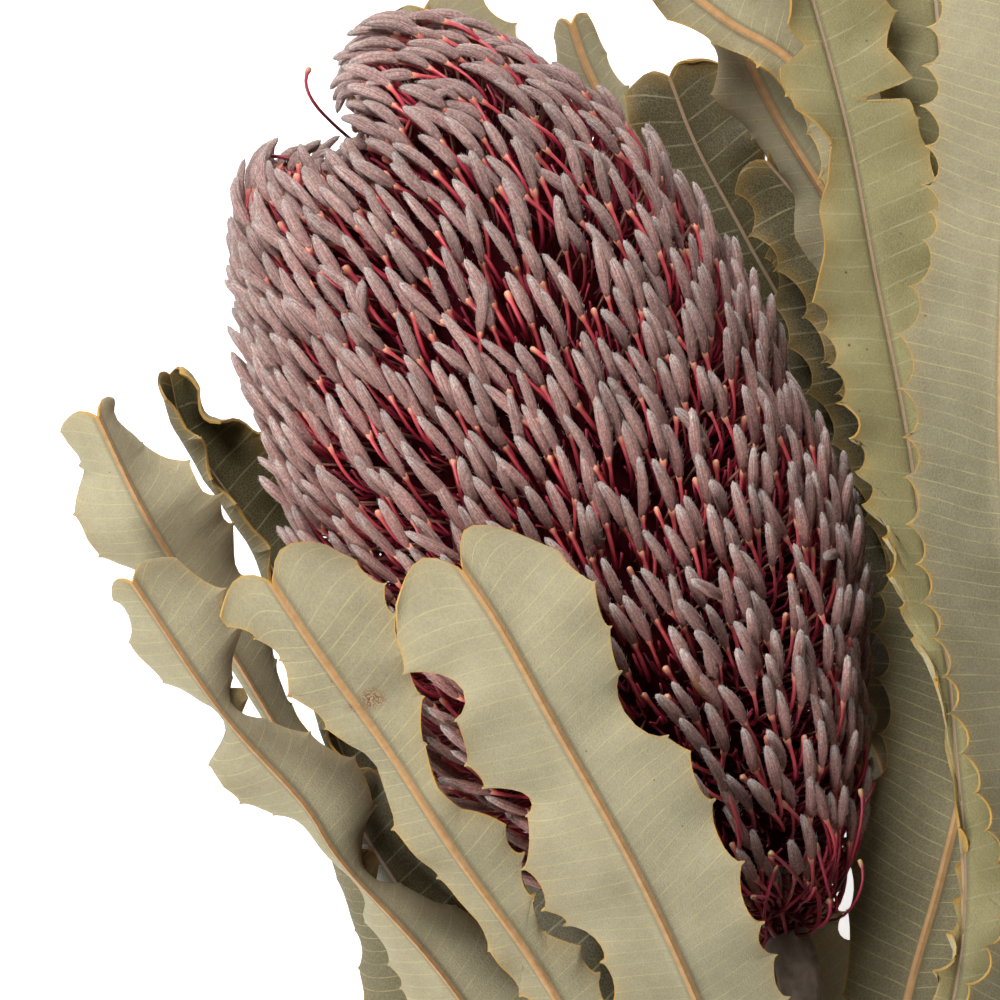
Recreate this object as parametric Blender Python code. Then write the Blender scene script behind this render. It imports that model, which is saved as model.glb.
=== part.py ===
"""Dried banksia stem, laid down: one woody stem, its flower spike and the leaves round it.

Frame: +X runs from the cut end of the stem to the tip of the spike, +Z is up, and the surface that the
stem lies on is z = 0. Every length below is in millimetres, and the meshes are written in metres.
"""
import math
import random
from dataclasses import dataclass

import bmesh
import bpy
from mathutils import Vector

MM = 0.001
SEED = 20

# Spike: length and greatest radius over the floret tips, and the height of its axis
SPIKE_LENGTH = 121.5
SPIKE_RADIUS = 33.2
AXIS_HEIGHT = 35.0
CORE_DEPTH = 4.2
CORE_SIDES = 14
FLORETS = 365

# The spike's axis, seen from above: straight for most of its length, then leaning to +Y at the tip
SPIKE_AXIS = [(-60, -5), (-52, -4.7), (-38, -2.3), (-19, 0), (7, 1.5), (30, 3), (45, 7), (55, 12)]

# Shares of the length and of the radius, from the base to the dent at the tip
SPIKE_PROFILE = [(0.0, 0.12), (0.012, 0.26), (0.045, 0.45), (0.115, 0.66), (0.187, 0.80), (0.276, 0.93),
                 (0.36, 0.99), (0.48, 1.0), (0.60, 0.985), (0.73, 0.92), (0.80, 0.86), (0.862, 0.78),
                 (0.91, 0.69), (0.955, 0.585), (0.985, 0.46), (1.0, 0.30), (0.99, 0.17), (0.965, 0.06),
                 (0.955, 0.0)]

# A floret's limb: reach along the spike, half width and half thickness at its belly
LIMB_REACH = 10.0
LIMB_BELLY = 4.0
LIMB_HALF_WIDTH = 2.7
LIMB_DEPTH = 2.4
LIMB_ROOT_HALF = 1.1
ROOT_SUNK = 1.5
# No floret stands this close to the axis, at the foot of the spike or in its dent
BARE_RADIUS = 5.5

# Stem: centre line from the spike to the cut end, and its radius at both
STEM_LINE = [(-60.7, -5, AXIS_HEIGHT), (-68, -4.6, 34.6), (-90, 3, 30.4), (-110, 8, 26.4), (-150, 15, 17.4),
             (-180, 19, 10.8), (-210, 22, 4.25)]
STEM_RADIUS_TOP = 2.9
STEM_RADIUS_CUT = 4.2
STEM_SIDES = 10
SEAT_GAP = 0.3

# Leaf blade: thickness at the margin and at the midrib, teeth along the margin and the narrow foot
BLADE_THICKNESS = 0.6
MIDRIB_RISE = 0.5
TOOTH_PITCH = 6.4
TOOTH_DEPTH = 1.3
FOOT_HALF_WIDTH = 1.3
FOOT_LENGTH = 6.0
TAPER_END = 44.0
TIP_ROUNDING = 7.5
TIP_NOTCH = 0.7
# A blade this close to the surface lies flat on it
FLAT_WITHIN = 0.02

# Colours of the dried plant, as sRGB hex
LIMB_COLOUR = "B9A49B"
BARK_COLOUR = "6B5546"
UNDERSIDE_COLOUR = "ADA682"
UPPER_SIDE_COLOUR = "97926A"


@dataclass(frozen=True)
class Leaf:
    """One leaf: where its foot sits on the stem, its midrib from there to the tip, and its blade."""

    name: str
    foot_x: float
    foot_angle: float
    midrib: tuple
    half_width: float
    rolls: tuple
    fold: float = 6.0
    wave: float = 1.0
    tooth_pitch: float = TOOTH_PITCH
    upper_side_up: bool = False


# Teeth on the leaves that lie behind the others are drawn larger than life
HIDDEN_PITCH = 12.0

# Angles round the stem: 0 is +Y, 90 is up, 180 is -Y. A roll above zero lifts the +Y margin.
LEAVES = [
    Leaf("leaf_front", -109, 80,
         ((-100, 8, 36), (-84, 7.5, 47), (-64, 8, 57), (-47, 9, 65), (-26, 12, 72), (-12, 14, 74), (-3, 16, 74)),
         10.5, (0, 0, -4, -6, -8, -4, 0, 0)),
    Leaf("leaf_front_left", -118, 45,
         ((-106, 15, 30), (-84, 20, 38), (-58, 24, 46), (-29, 30.5, 55), (-14, 34, 58), (3, 38, 59)),
         10.0, (0, -10, -18, -24, -28, -28, -24)),
    Leaf("leaf_left_twisted", -127, 20,
         ((-114, 20, 25), (-86, 29, 31), (-52, 36, 37), (-33, 43, 39), (-24, 45, 40), (-9, 50.5, 41), (10, 55, 42)),
         9.5, (0, -8, -15, -10, -50, -12, -50, -8)),
    Leaf("leaf_left_between", -135, 0,
         ((-120, 20, 20.5), (-90, 28, 25), (-60, 33, 28), (-42, 37, 29.5), (-24, 41, 30)),
         8.0, (0, -10, -18, -22, -22, -20), upper_side_up=True),
    Leaf("leaf_left_upper", -142, -10,
         ((-126, 23, 16), (-90, 34, 17.5), (-50, 41, 20), (-17, 45, 24), (3, 48.5, 27), (17, 51, 31),
          (31, 52, 34)),
         10.0, (0, 0, 5, 8, 8, 12, 30, 44)),
    Leaf("leaf_left_dark", -152, -28,
         ((-134, 22, 11), (-100, 31, 8), (-60, 37, 8), (-30, 39, 9), (3, 39, 11), (14, 40.5, 13),
          (25, 43, 15), (33, 42, 18)),
         8.5, (0, 10, 18, 22, 24, 24, 26, 30, 34), wave=1.3, upper_side_up=True),
    Leaf("leaf_resting", -174, 270,
         ((-156, 13, 5.4), (-128, 6, 2), (-102, -1, 0.5), (-84, -4, 0.3), (-60, -5, 0.3), (-20, -5, 0.3),
          (20, -5, 0.3), (66, -5, 0.3)),
         10.5, (0, 0, 0, 0, 0, 0, 0, 0, 0), fold=0.0, wave=0.0, tooth_pitch=HIDDEN_PITCH),
    Leaf("leaf_right_shaded", -100, 180,
         ((-92, -6, 27), (-75, -16.5, 28.8), (-62, -26, 30.5), (-50, -34, 31.8), (-36, -41, 32.4),
          (-17, -46, 32.6), (2, -47, 32.6)),
         9.5, (0, 0, -4, -8, -10, -10, -10, -10)),
    Leaf("leaf_right_large", -104, 132,
         ((-97, -5, 37), (-86, -22, 45), (-68, -38, 52), (-50, -42.5, 56), (-31, -46, 58), (-13, -51, 60),
          (9, -60, 61), (25, -68, 62), (62, -84, 62)),
         11.5, (0, 0, 0, 0, 0, 0, 0, 0, 0, 0)),
    Leaf("leaf_right_olive", -113, 152,
         ((-98, -7, 34), (-70, -25, 42), (-43, -34, 47), (-28, -37, 49), (-13, -40, 50.5), (3, -43, 51.5),
          (15, -45, 52), (37, -48.5, 53), (62, -50, 53)),
         7.5, (0, 5, 10, 15, 15, 15, 15, 15, 15, 15), wave=1.5, upper_side_up=True),
    Leaf("leaf_right_inner", -122, 172,
         ((-104, -12, 29.3), (-88, -22, 34.6), (-60, -36, 41), (-24, -45, 44.6), (-6, -50, 45),
          (11, -55, 45.5), (29, -60.5, 46), (52, -67, 46)),
         8.5, (0, 0, -2, -4, -4, -4, -4, -4, -4), tooth_pitch=HIDDEN_PITCH),
    Leaf("leaf_behind_crossing", -130, 188,
         ((-108, -10, 25.5), (-78, -31, 34), (-40, -46, 37.4), (0, -50, 38), (26, -49, 38.6),
          (40, -45, 39.4), (48, -39, 40), (58, -33, 40.4)),
         8.0, (0, 0, -6, -10, -10, -8, -4, 0, 4), tooth_pitch=HIDDEN_PITCH),
    Leaf("leaf_behind_pale", -137, 198,
         ((-116, -8, 20.7), (-84, -28, 24.6), (-40, -45, 28), (0, -46, 28.6), (20, -44, 29.5),
          (36, -41, 30.5), (48, -40, 31.5)),
         8.5, (0, 0, -8, -14, -15, -15, -15, -15), tooth_pitch=HIDDEN_PITCH),
    Leaf("leaf_behind_torn", -144, 206,
         ((-122, -6, 17.3), (-84, -28, 20.8), (-40, -45, 24), (0, -44, 24.6), (18, -42, 25),
          (31, -38, 26)),
         8.0, (0, 0, -10, -18, -20, -20, -20), tooth_pitch=HIDDEN_PITCH),
    Leaf("leaf_behind_narrow", -150, 214,
         ((-128, -5, 14), (-84, -28, 17), (-40, -46, 20.5), (0, -48, 21.5), (22, -47, 22), (42, -47, 22)),
         8.5, (0, 0, -12, -22, -23, -23, -23), tooth_pitch=HIDDEN_PITCH),
    Leaf("leaf_behind_low", -156, 222,
         ((-134, -3, 11), (-90, -26, 12), (-50, -40, 14.5), (-19, -42, 15.5), (5, -41, 16),
          (21, -40, 16.5)),
         8.5, (0, 0, -12, -20, -22, -22, -22), tooth_pitch=HIDDEN_PITCH),
    Leaf("leaf_behind_lobed", -162, 234,
         ((-138, 2, 8), (-90, -20, 7.5), (-40, -34, 9), (0, -35, 9.5), (22, -33, 10.5), (36, -31, 12),
          (46, -31, 13)),
         9.0, (0, 0, -10, -18, -20, -20, -18, -16), tooth_pitch=HIDDEN_PITCH),
    Leaf("leaf_behind_tip", -168, 250,
         ((-146, 6, 5.5), (-105, -12, 3.4), (-60, -24, 3.2), (-10, -26, 3.2), (30, -25, 4.2), (48, -22, 6),
          (57, -22, 6.4)),
         8.5, (0, 0, -8, -16, -18, -16, -12, -10), wave=0.5, tooth_pitch=HIDDEN_PITCH),
]


def smoothstep(value):
    """Ease a value between 0 and 1."""
    clipped = min(max(value, 0.0), 1.0)
    return clipped * clipped * (3.0 - 2.0 * clipped)


class Curve:
    """A smooth curve through hand-chosen points, read by the distance along it in millimetres."""

    STEPS = 24

    def __init__(self, points):
        anchors = [Vector(point) for point in points]
        ends = [2 * anchors[0] - anchors[1]], [2 * anchors[-1] - anchors[-2]]
        knots = ends[0] + anchors + ends[1]
        self.samples = [anchors[0]]
        self.parameters = [0.0]
        for index in range(len(anchors) - 1):
            for step in range(1, self.STEPS + 1):
                share = step / self.STEPS
                self.samples.append(self.blend(knots[index:index + 4], share))
                self.parameters.append(index + share)
        self.lengths = [0.0]
        for before, after in zip(self.samples, self.samples[1:]):
            self.lengths.append(self.lengths[-1] + (after - before).length)
        self.length = self.lengths[-1]

    @staticmethod
    def blend(knots, share):
        """Catmull-Rom point between the middle two of four knots."""
        before, start, end, after = knots
        cubic = (3 * (start - end) + after - before) * share ** 3
        square = (2 * before - 5 * start + 4 * end - after) * share ** 2
        return 0.5 * (2 * start + (end - before) * share + square + cubic)

    def segment(self, distance):
        """Index of the sample before a distance, and the share of the way to the next one."""
        index = 0
        while index < len(self.lengths) - 2 and self.lengths[index + 1] < distance:
            index += 1
        span = self.lengths[index + 1] - self.lengths[index]
        return index, (distance - self.lengths[index]) / span

    def point(self, distance):
        """Point at a distance; past either end the curve runs on straight."""
        index, share = self.segment(distance)
        return self.samples[index].lerp(self.samples[index + 1], share)

    def parameter(self, distance):
        """Number of the control point at a distance, with its fraction."""
        index, share = self.segment(min(max(distance, 0.0), self.length))
        return self.parameters[index] + share * (self.parameters[index + 1] - self.parameters[index])

    def tangent(self, distance):
        """Unit direction of the curve at a distance."""
        reach = 0.6
        return (self.point(distance + reach) - self.point(distance - reach)).normalized()


def side_and_up(tangent):
    """The level direction to the left of a tangent, and the direction square to both."""
    side = Vector((0, 0, 1)).cross(tangent).normalized()
    return side, tangent.cross(side)


def colour(hex_code):
    """Linear RGBA from an sRGB hex code."""
    channels = [int(hex_code[start:start + 2], 16) / 255 for start in (0, 2, 4)]
    linear = [value / 12.92 if value <= 0.04045 else ((value + 0.055) / 1.055) ** 2.4 for value in channels]
    return (*linear, 1.0)


def material(name, hex_code, roughness):
    """A plain Principled material."""
    result = bpy.data.materials.new(name)
    result.use_nodes = True
    shader = result.node_tree.nodes["Principled BSDF"]
    shader.inputs["Base Color"].default_value = colour(hex_code)
    shader.inputs["Roughness"].default_value = roughness
    shader.inputs["Metallic"].default_value = 0.0
    return result


def add_object(name, mesh_data, surface):
    """Link a bmesh to the scene as one named object."""
    bmesh.ops.recalc_face_normals(mesh_data, faces=mesh_data.faces)
    mesh = bpy.data.meshes.new(name)
    mesh_data.to_mesh(mesh)
    mesh_data.free()
    mesh.materials.append(surface)
    result = bpy.data.objects.new(name, mesh)
    bpy.context.scene.collection.objects.link(result)
    return result


def loft(mesh_data, rings):
    """Skin closed rings of points, in millimetres, and cap both ends."""
    made = [[mesh_data.verts.new(point * MM) for point in ring] for ring in rings]
    for lower, upper in zip(made, made[1:]):
        count = max(len(lower), len(upper))
        for index in range(count):
            following = (index + 1) % count
            if len(upper) == 1:
                mesh_data.faces.new((lower[index], lower[following], upper[0]))
            else:
                mesh_data.faces.new((lower[index], lower[following], upper[following], upper[index]))
    for cap in (made[0], made[-1]):
        if len(cap) > 2:
            mesh_data.faces.new(cap)


def stem_radius(line, distance):
    """Radius of the stem, a little thicker towards its cut end."""
    share = distance / line.length
    return STEM_RADIUS_TOP + (STEM_RADIUS_CUT - STEM_RADIUS_TOP) * share


def build_stem(line, surface):
    """The woody stem: a tapering tube with low swellings where the leaves sit."""
    rings = []
    spacing = 7.5
    count = round(line.length / spacing)
    draw = random.Random(SEED)
    for index in range(count + 1):
        distance = line.length * index / count
        side, up = side_and_up(line.tangent(distance))
        swelling = draw.uniform(-0.12, 0.12) if 0 < index < count else 0.0
        radius = stem_radius(line, distance) + swelling
        turns = [2 * math.pi * step / STEM_SIDES for step in range(STEM_SIDES)]
        rings.append([line.point(distance) + radius * (math.cos(turn) * side + math.sin(turn) * up)
                      for turn in turns])
    mesh_data = bmesh.new()
    loft(mesh_data, rings)
    return add_object("stem", mesh_data, surface)


class Spike:
    """The flower spike's envelope: a curved axis and a profile, both read by distance."""

    def __init__(self):
        self.axis = Curve([(x, y, AXIS_HEIGHT) for x, y in SPIKE_AXIS])
        self.profile = Curve([(along * SPIKE_LENGTH, out * SPIKE_RADIUS, 0) for along, out in SPIKE_PROFILE])

    def point(self, along, out, turn):
        """Point at a distance along the axis, out from it, and at a turn round it."""
        side, up = side_and_up(self.axis.tangent(along))
        return self.axis.point(along) + out * (math.cos(turn) * side + math.sin(turn) * up)

    def directions(self, distance, turn):
        """On the envelope: the way to the tip, the way outward and the way round."""
        along, out = self.profile.point(distance).xy
        tangent = self.axis.tangent(along)
        side, up = side_and_up(tangent)
        outward = math.cos(turn) * side + math.sin(turn) * up
        slope = self.profile.tangent(distance)
        towards_tip = slope.x * tangent + slope.y * outward
        normal = slope.x * outward - slope.y * tangent
        return towards_tip, normal, normal.cross(towards_tip)

    def places(self, count):
        """Floret places of equal area each, turned by the golden angle from one to the next."""
        steps = 400
        areas = [0.0]
        spacing = self.profile.length / steps
        for step in range(steps):
            areas.append(areas[-1] + self.profile.point((step + 0.5) * spacing).y * spacing)
        golden_angle = math.pi * (3 - math.sqrt(5))
        step = 0
        for index in range(count):
            wanted = areas[-1] * (index + 0.5) / count
            while areas[step + 1] < wanted:
                step += 1
            share = (wanted - areas[step]) / (areas[step + 1] - areas[step])
            yield (step + share) * spacing, index * golden_angle


def floret(spike, distance, turn, draw):
    """Rings of one floret's limb: a root in the core, a belly and a tip towards the spike's tip."""
    along, out = spike.profile.point(distance).xy
    room = min(1.0, 0.5 + out / 25.0)
    ahead, outward, across = spike.directions(distance, turn)
    place = spike.point(along, out, turn)
    stray = draw.uniform(-0.8, 0.8)
    lift = draw.uniform(-0.5, 0.4)
    root = place - (CORE_DEPTH + ROOT_SUNK) * outward - 1.2 * ahead
    belly = place - (LIMB_DEPTH - lift) * outward + LIMB_BELLY * ahead * room
    tip_along, tip_out = spike.profile.point(min(distance + LIMB_REACH * room, spike.profile.length)).xy
    tip = spike.point(tip_along, tip_out, turn) + (lift - 0.2) * outward + stray * across
    rings = []
    for centre, half_width, depth in ((root, LIMB_ROOT_HALF, LIMB_ROOT_HALF),
                                      (belly, LIMB_HALF_WIDTH * room, LIMB_DEPTH)):
        rings.append([centre + half_width * across, centre + depth * outward, centre - half_width * across])
    rings.append([tip])
    return rings


def core_rings(spike):
    """Rings of the core that the florets stand out of, with a flat face towards the stem."""
    rings = []
    steps = 13
    for index in range(steps):
        distance = spike.profile.length * 0.93 * (index / (steps - 1))
        along, out = spike.profile.point(distance).xy
        slope = spike.profile.tangent(distance)
        depth = CORE_DEPTH * smoothstep(0.35 + distance / 20.0)
        along += depth * slope.y * (index > 0)
        out = max(out - depth * slope.x, 2.5)
        turns = [2 * math.pi * step / CORE_SIDES for step in range(CORE_SIDES)]
        rings.append([spike.point(along, out, turn) for turn in turns])
    return rings


def keep_outer_shell(target):
    """Fill hollows that the joining sealed and drop loose scraps: only the largest shell stays."""
    mesh_data = bmesh.new()
    mesh_data.from_mesh(target.data)
    waiting = set(mesh_data.verts)
    shells = []
    while waiting:
        shell = [waiting.pop()]
        for vertex in shell:
            for edge in vertex.link_edges:
                other = edge.other_vert(vertex)
                if other in waiting:
                    waiting.remove(other)
                    shell.append(other)
        shells.append(shell)
    largest = max(shells, key=len)
    spare = [vertex for shell in shells if shell is not largest for vertex in shell]
    bmesh.ops.delete(mesh_data, geom=spare, context="VERTS")
    mesh_data.to_mesh(target.data)
    mesh_data.free()


def build_spike(surface):
    """Core and florets, joined by one union."""
    spike = Spike()
    mesh_data = bmesh.new()
    loft(mesh_data, core_rings(spike))
    target = add_object("flower_spike", mesh_data, surface)
    florets = bpy.data.collections.new("florets")
    bpy.context.scene.collection.children.link(florets)
    draw = random.Random(SEED)
    for distance, turn in spike.places(FLORETS):
        if spike.profile.point(distance).y < BARE_RADIUS:
            continue
        mesh_data = bmesh.new()
        loft(mesh_data, floret(spike, distance, turn, draw))
        limb = add_object("limb", mesh_data, surface)
        bpy.context.scene.collection.objects.unlink(limb)
        florets.objects.link(limb)
    union = target.modifiers.new("florets", "BOOLEAN")
    union.operation = "UNION"
    union.operand_type = "COLLECTION"
    union.collection = florets
    union.solver = "MANIFOLD"
    bpy.context.view_layer.objects.active = target
    bpy.ops.object.modifier_apply(modifier=union.name)
    for limb in list(florets.objects):
        bpy.data.objects.remove(limb)
    bpy.data.collections.remove(florets)
    keep_outer_shell(target)
    return target


def foot_point(leaf, line):
    """Where the middle of a leaf's foot sits, just clear of the stem."""
    distance = 0.0
    while line.point(distance).x > leaf.foot_x:
        distance += 0.5
    side, up = side_and_up(line.tangent(distance))
    angle = math.radians(leaf.foot_angle)
    outward = -math.cos(angle) * side + math.sin(angle) * up
    centre = line.point(distance)
    away = (Vector(leaf.midrib[0]) - centre).normalized()
    foot_side, foot_up = side_and_up(away)
    thickness = BLADE_THICKNESS / 2 + MIDRIB_RISE
    reach = FOOT_HALF_WIDTH * abs(foot_side.dot(outward)) + thickness * abs(foot_up.dot(outward))
    return centre + (stem_radius(line, distance) + SEAT_GAP + reach) * outward


def margin_reach(leaf, distance, length, hollow):
    """Half width of the blade at a distance from its foot, less the depth of a hollow there."""
    width = FOOT_HALF_WIDTH + (leaf.half_width - FOOT_HALF_WIDTH) * smoothstep(
        (distance - FOOT_LENGTH) / (TAPER_END - FOOT_LENGTH))
    left = length - distance
    if left < TIP_ROUNDING:
        width *= 0.34 + 0.66 * math.sqrt(1.0 - (1.0 - left / TIP_ROUNDING) ** 2)
    return width - hollow


def on_surface(point):
    """Set a point that lies on the surface, or would dip below it, at just its height."""
    if point.z < FLAT_WITHIN:
        point.z = 0.0
    return point


def leaf_stations(length, tooth_pitch):
    """Distances along the midrib: a few on the foot, then one for each tooth and each hollow."""
    stations = [(0.0, False), (FOOT_LENGTH, False)]
    teeth = round((length - TIP_ROUNDING - TAPER_END / 2) / tooth_pitch)
    pitch = (length - TIP_ROUNDING - TAPER_END / 2) / teeth
    for tooth in range(teeth):
        stations.append((TAPER_END / 2 + tooth * pitch, True))
        stations.append((TAPER_END / 2 + (tooth + 0.5) * pitch, True))
    stations += [(length - TIP_ROUNDING, False), (length - 0.4 * TIP_ROUNDING, False),
                 (length - 0.16 * TIP_ROUNDING, False), (length, False)]
    return stations


def build_leaf(leaf, line, surface, draw):
    """One leaf: three points across at each station, as a thin closed blade split alike on both faces."""
    curve = Curve([foot_point(leaf, line), *leaf.midrib])
    rows = []
    phase = draw.uniform(0, 2 * math.pi)
    ripple = 2 * math.pi / (leaf.tooth_pitch * draw.uniform(2.6, 3.6))
    for index, (distance, toothed) in enumerate(leaf_stations(curve.length, leaf.tooth_pitch)):
        parameter = curve.parameter(distance)
        before = min(int(parameter), len(leaf.rolls) - 2)
        roll = leaf.rolls[before] + (leaf.rolls[before + 1] - leaf.rolls[before]) * (parameter - before)
        side, up = side_and_up(curve.tangent(distance))
        turned = math.radians(roll)
        across = math.cos(turned) * side + math.sin(turned) * up
        normal = math.cos(turned) * up - math.sin(turned) * side
        blade = smoothstep((distance - FOOT_LENGTH) / TAPER_END)
        centre = curve.point(distance)
        row = []
        for hand in (1, 0, -1):
            hollow = TOOTH_DEPTH * draw.uniform(0.6, 1.4) if toothed and (index + (hand > 0)) % 2 == 0 else 0.0
            reach = hand * margin_reach(leaf, distance, curve.length, hollow)
            rise = abs(reach) * math.tan(math.radians(leaf.fold)) * blade
            rise += abs(hand) * blade * leaf.wave * math.sin(ripple * distance + phase + hand)
            above = BLADE_THICKNESS / 2
            below = BLADE_THICKNESS / 2
            if hand == 0 or distance <= FOOT_LENGTH:
                above += 0.0 if leaf.upper_side_up else MIDRIB_RISE
                below += MIDRIB_RISE if leaf.upper_side_up else 0.0
            notch = TIP_NOTCH if hand == 0 and distance >= curve.length else 0.0
            point = centre + reach * across + rise * normal - notch * curve.tangent(distance)
            row.append([on_surface(point + above * normal), on_surface(point - below * normal)])
        rows.append(row)
    mesh_data = bmesh.new()
    verts = [[[mesh_data.verts.new(point * MM) for point in pair] for pair in row] for row in rows]
    for lower, upper in zip(verts, verts[1:]):
        for column in (0, 1):
            for face in (0, 1):
                corners = [lower[column][face], lower[column + 1][face], upper[column + 1][face], upper[column][face]]
                turn = 1 if column else 0
                mesh_data.faces.new((corners[turn], corners[turn + 1], corners[turn + 2]))
                mesh_data.faces.new((corners[turn], corners[turn + 2], corners[(turn + 3) % 4]))
        for column in (0, 2):
            mesh_data.faces.new((lower[column][0], lower[column][1], upper[column][1], upper[column][0]))
    for row in (verts[0], verts[-1]):
        for column in (0, 1):
            mesh_data.faces.new((row[column][0], row[column][1], row[column + 1][1], row[column + 1][0]))
    return add_object(leaf.name, mesh_data, surface)


def main():
    """Build every node of the stem."""
    for old in list(bpy.data.objects):
        bpy.data.objects.remove(old)
    bark = material("dried_bark", BARK_COLOUR, 0.85)
    felt = material("leaf_underside", UNDERSIDE_COLOUR, 0.9)
    leather = material("leaf_upper_side", UPPER_SIDE_COLOUR, 0.6)
    fuzz = material("floret_fuzz", LIMB_COLOUR, 0.95)
    line = Curve(STEM_LINE)
    build_stem(line, bark)
    build_spike(fuzz)
    draw = random.Random(SEED)
    for leaf in LEAVES:
        build_leaf(leaf, line, leather if leaf.upper_side_up else felt, draw)


main()
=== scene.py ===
"""Looks of the dried banksia stem: fuzzy florets, crimson styles, toothed leaves and bark.

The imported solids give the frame: +X runs along the spike to its tip, +Z is up and the surface that the
stem lies on is z = 0. Sizes here are in millimetres, and meshes are written in metres.
"""
import logging
import math
from dataclasses import dataclass, field
from enum import Enum

import bpy
import numpy as np
from mathutils import Matrix, Vector


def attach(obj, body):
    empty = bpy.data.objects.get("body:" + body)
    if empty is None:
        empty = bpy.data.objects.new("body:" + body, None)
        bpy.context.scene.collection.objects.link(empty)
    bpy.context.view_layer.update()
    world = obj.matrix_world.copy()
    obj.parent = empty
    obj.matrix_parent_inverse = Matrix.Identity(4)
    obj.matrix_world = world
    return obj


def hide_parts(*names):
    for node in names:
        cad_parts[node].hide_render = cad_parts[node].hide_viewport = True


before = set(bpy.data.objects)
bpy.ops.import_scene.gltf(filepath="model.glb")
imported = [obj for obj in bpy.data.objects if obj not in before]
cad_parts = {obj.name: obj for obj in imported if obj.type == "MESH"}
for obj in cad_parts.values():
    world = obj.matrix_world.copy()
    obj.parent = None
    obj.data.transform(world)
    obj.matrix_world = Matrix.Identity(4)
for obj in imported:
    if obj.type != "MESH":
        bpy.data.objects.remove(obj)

LOG = logging.getLogger("banksia")
MM = 0.001
SEED = 20
SPIKE_NODE = "flower_spike"
STEM_NODE = "stem"
ROOT_BODY = "root"
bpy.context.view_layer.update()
LIMB_HALF_WIDTH = 0.84
# The grain pattern of each copy is shifted by its tint, and drawn out along the copy
GRAIN_SHIFT_X = 31.0
GRAIN_SHIFT_Y = 17.0
GRAIN_STRETCH = 0.35


class Face(Enum):
    """Which side of a leaf looks up."""

    UNDERSIDE = "underside"
    UPPER_SIDE = "upper side"


class Slot(Enum):
    """Names of material slots."""

    BARK = "dried_bark"
    FUZZ = "floret_fuzz"
    UNDERSIDE = "leaf_underside"
    UPPER_SIDE = "leaf_upper_side"


def linear(hex_code: str) -> tuple[float, float, float, float]:
    """Turn an sRGB hex colour into linear RGBA.

    Args:
        hex_code: Six hex digits.

    Returns:
        The linear colour, opaque.
    """
    channels = [int(hex_code[start:start + 2], 16) / 255 for start in (0, 2, 4)]
    values = [value / 12.92 if value <= 0.04045 else ((value + 0.055) / 1.055) ** 2.4 for value in channels]
    return (values[0], values[1], values[2], 1.0)


def add_node(tree: bpy.types.NodeTree, kind: str, inputs: dict | None = None,
             **settings: object) -> bpy.types.Node:
    """Add one shader node, set its options, and set or link its inputs.

    Args:
        tree: Node tree of a material.
        kind: Blender's name for the node's type.
        inputs: Values or sockets by input name or number.
        **settings: Options of the node.

    Returns:
        The new node.
    """
    node = tree.nodes.new(kind)
    for name, value in settings.items():
        setattr(node, name, value)
    for key, value in (inputs or {}).items():
        if isinstance(value, bpy.types.NodeSocket):
            tree.links.new(value, node.inputs[key])
        else:
            node.inputs[key].default_value = value
    return node


def new_material(name: str) -> tuple[bpy.types.Material, bpy.types.NodeTree, bpy.types.Node]:
    """Make a material and return it with its tree and its Principled shader.

    Args:
        name: Name of the real finish.

    Returns:
        Material, node tree and shader node.
    """
    material = bpy.data.materials.new(name)
    material.use_nodes = True
    tree = material.node_tree
    return material, tree, tree.nodes["Principled BSDF"]


def smoothstep(value: np.ndarray) -> np.ndarray:
    """Ease values between 0 and 1."""
    clipped = np.clip(value, 0.0, 1.0)
    return clipped * clipped * (3.0 - 2.0 * clipped)


def unit(vectors: np.ndarray) -> np.ndarray:
    """Scale each row to length 1."""
    return vectors / np.linalg.norm(vectors, axis=-1, keepdims=True)


def deselect_all() -> None:
    """Leave edit mode if need be and select nothing."""
    if bpy.context.object and bpy.context.object.mode != "OBJECT":
        bpy.ops.object.mode_set(mode="OBJECT")
    bpy.ops.object.select_all(action="DESELECT")


def finish_piece(piece: bpy.types.Object, nodes: tuple[str, ...] = ()) -> bpy.types.Object:
    """Attach a piece to the body that it rides on, and hide the solids that it stands for.

    Args:
        piece: The finished object.
        nodes: Solids that it replaces.

    Returns:
        The same object.
    """
    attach(piece, ROOT_BODY)
    if nodes:
        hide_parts(*nodes)
    LOG.info("%s: %d faces", piece.name, len(piece.data.polygons))
    return piece


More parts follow.
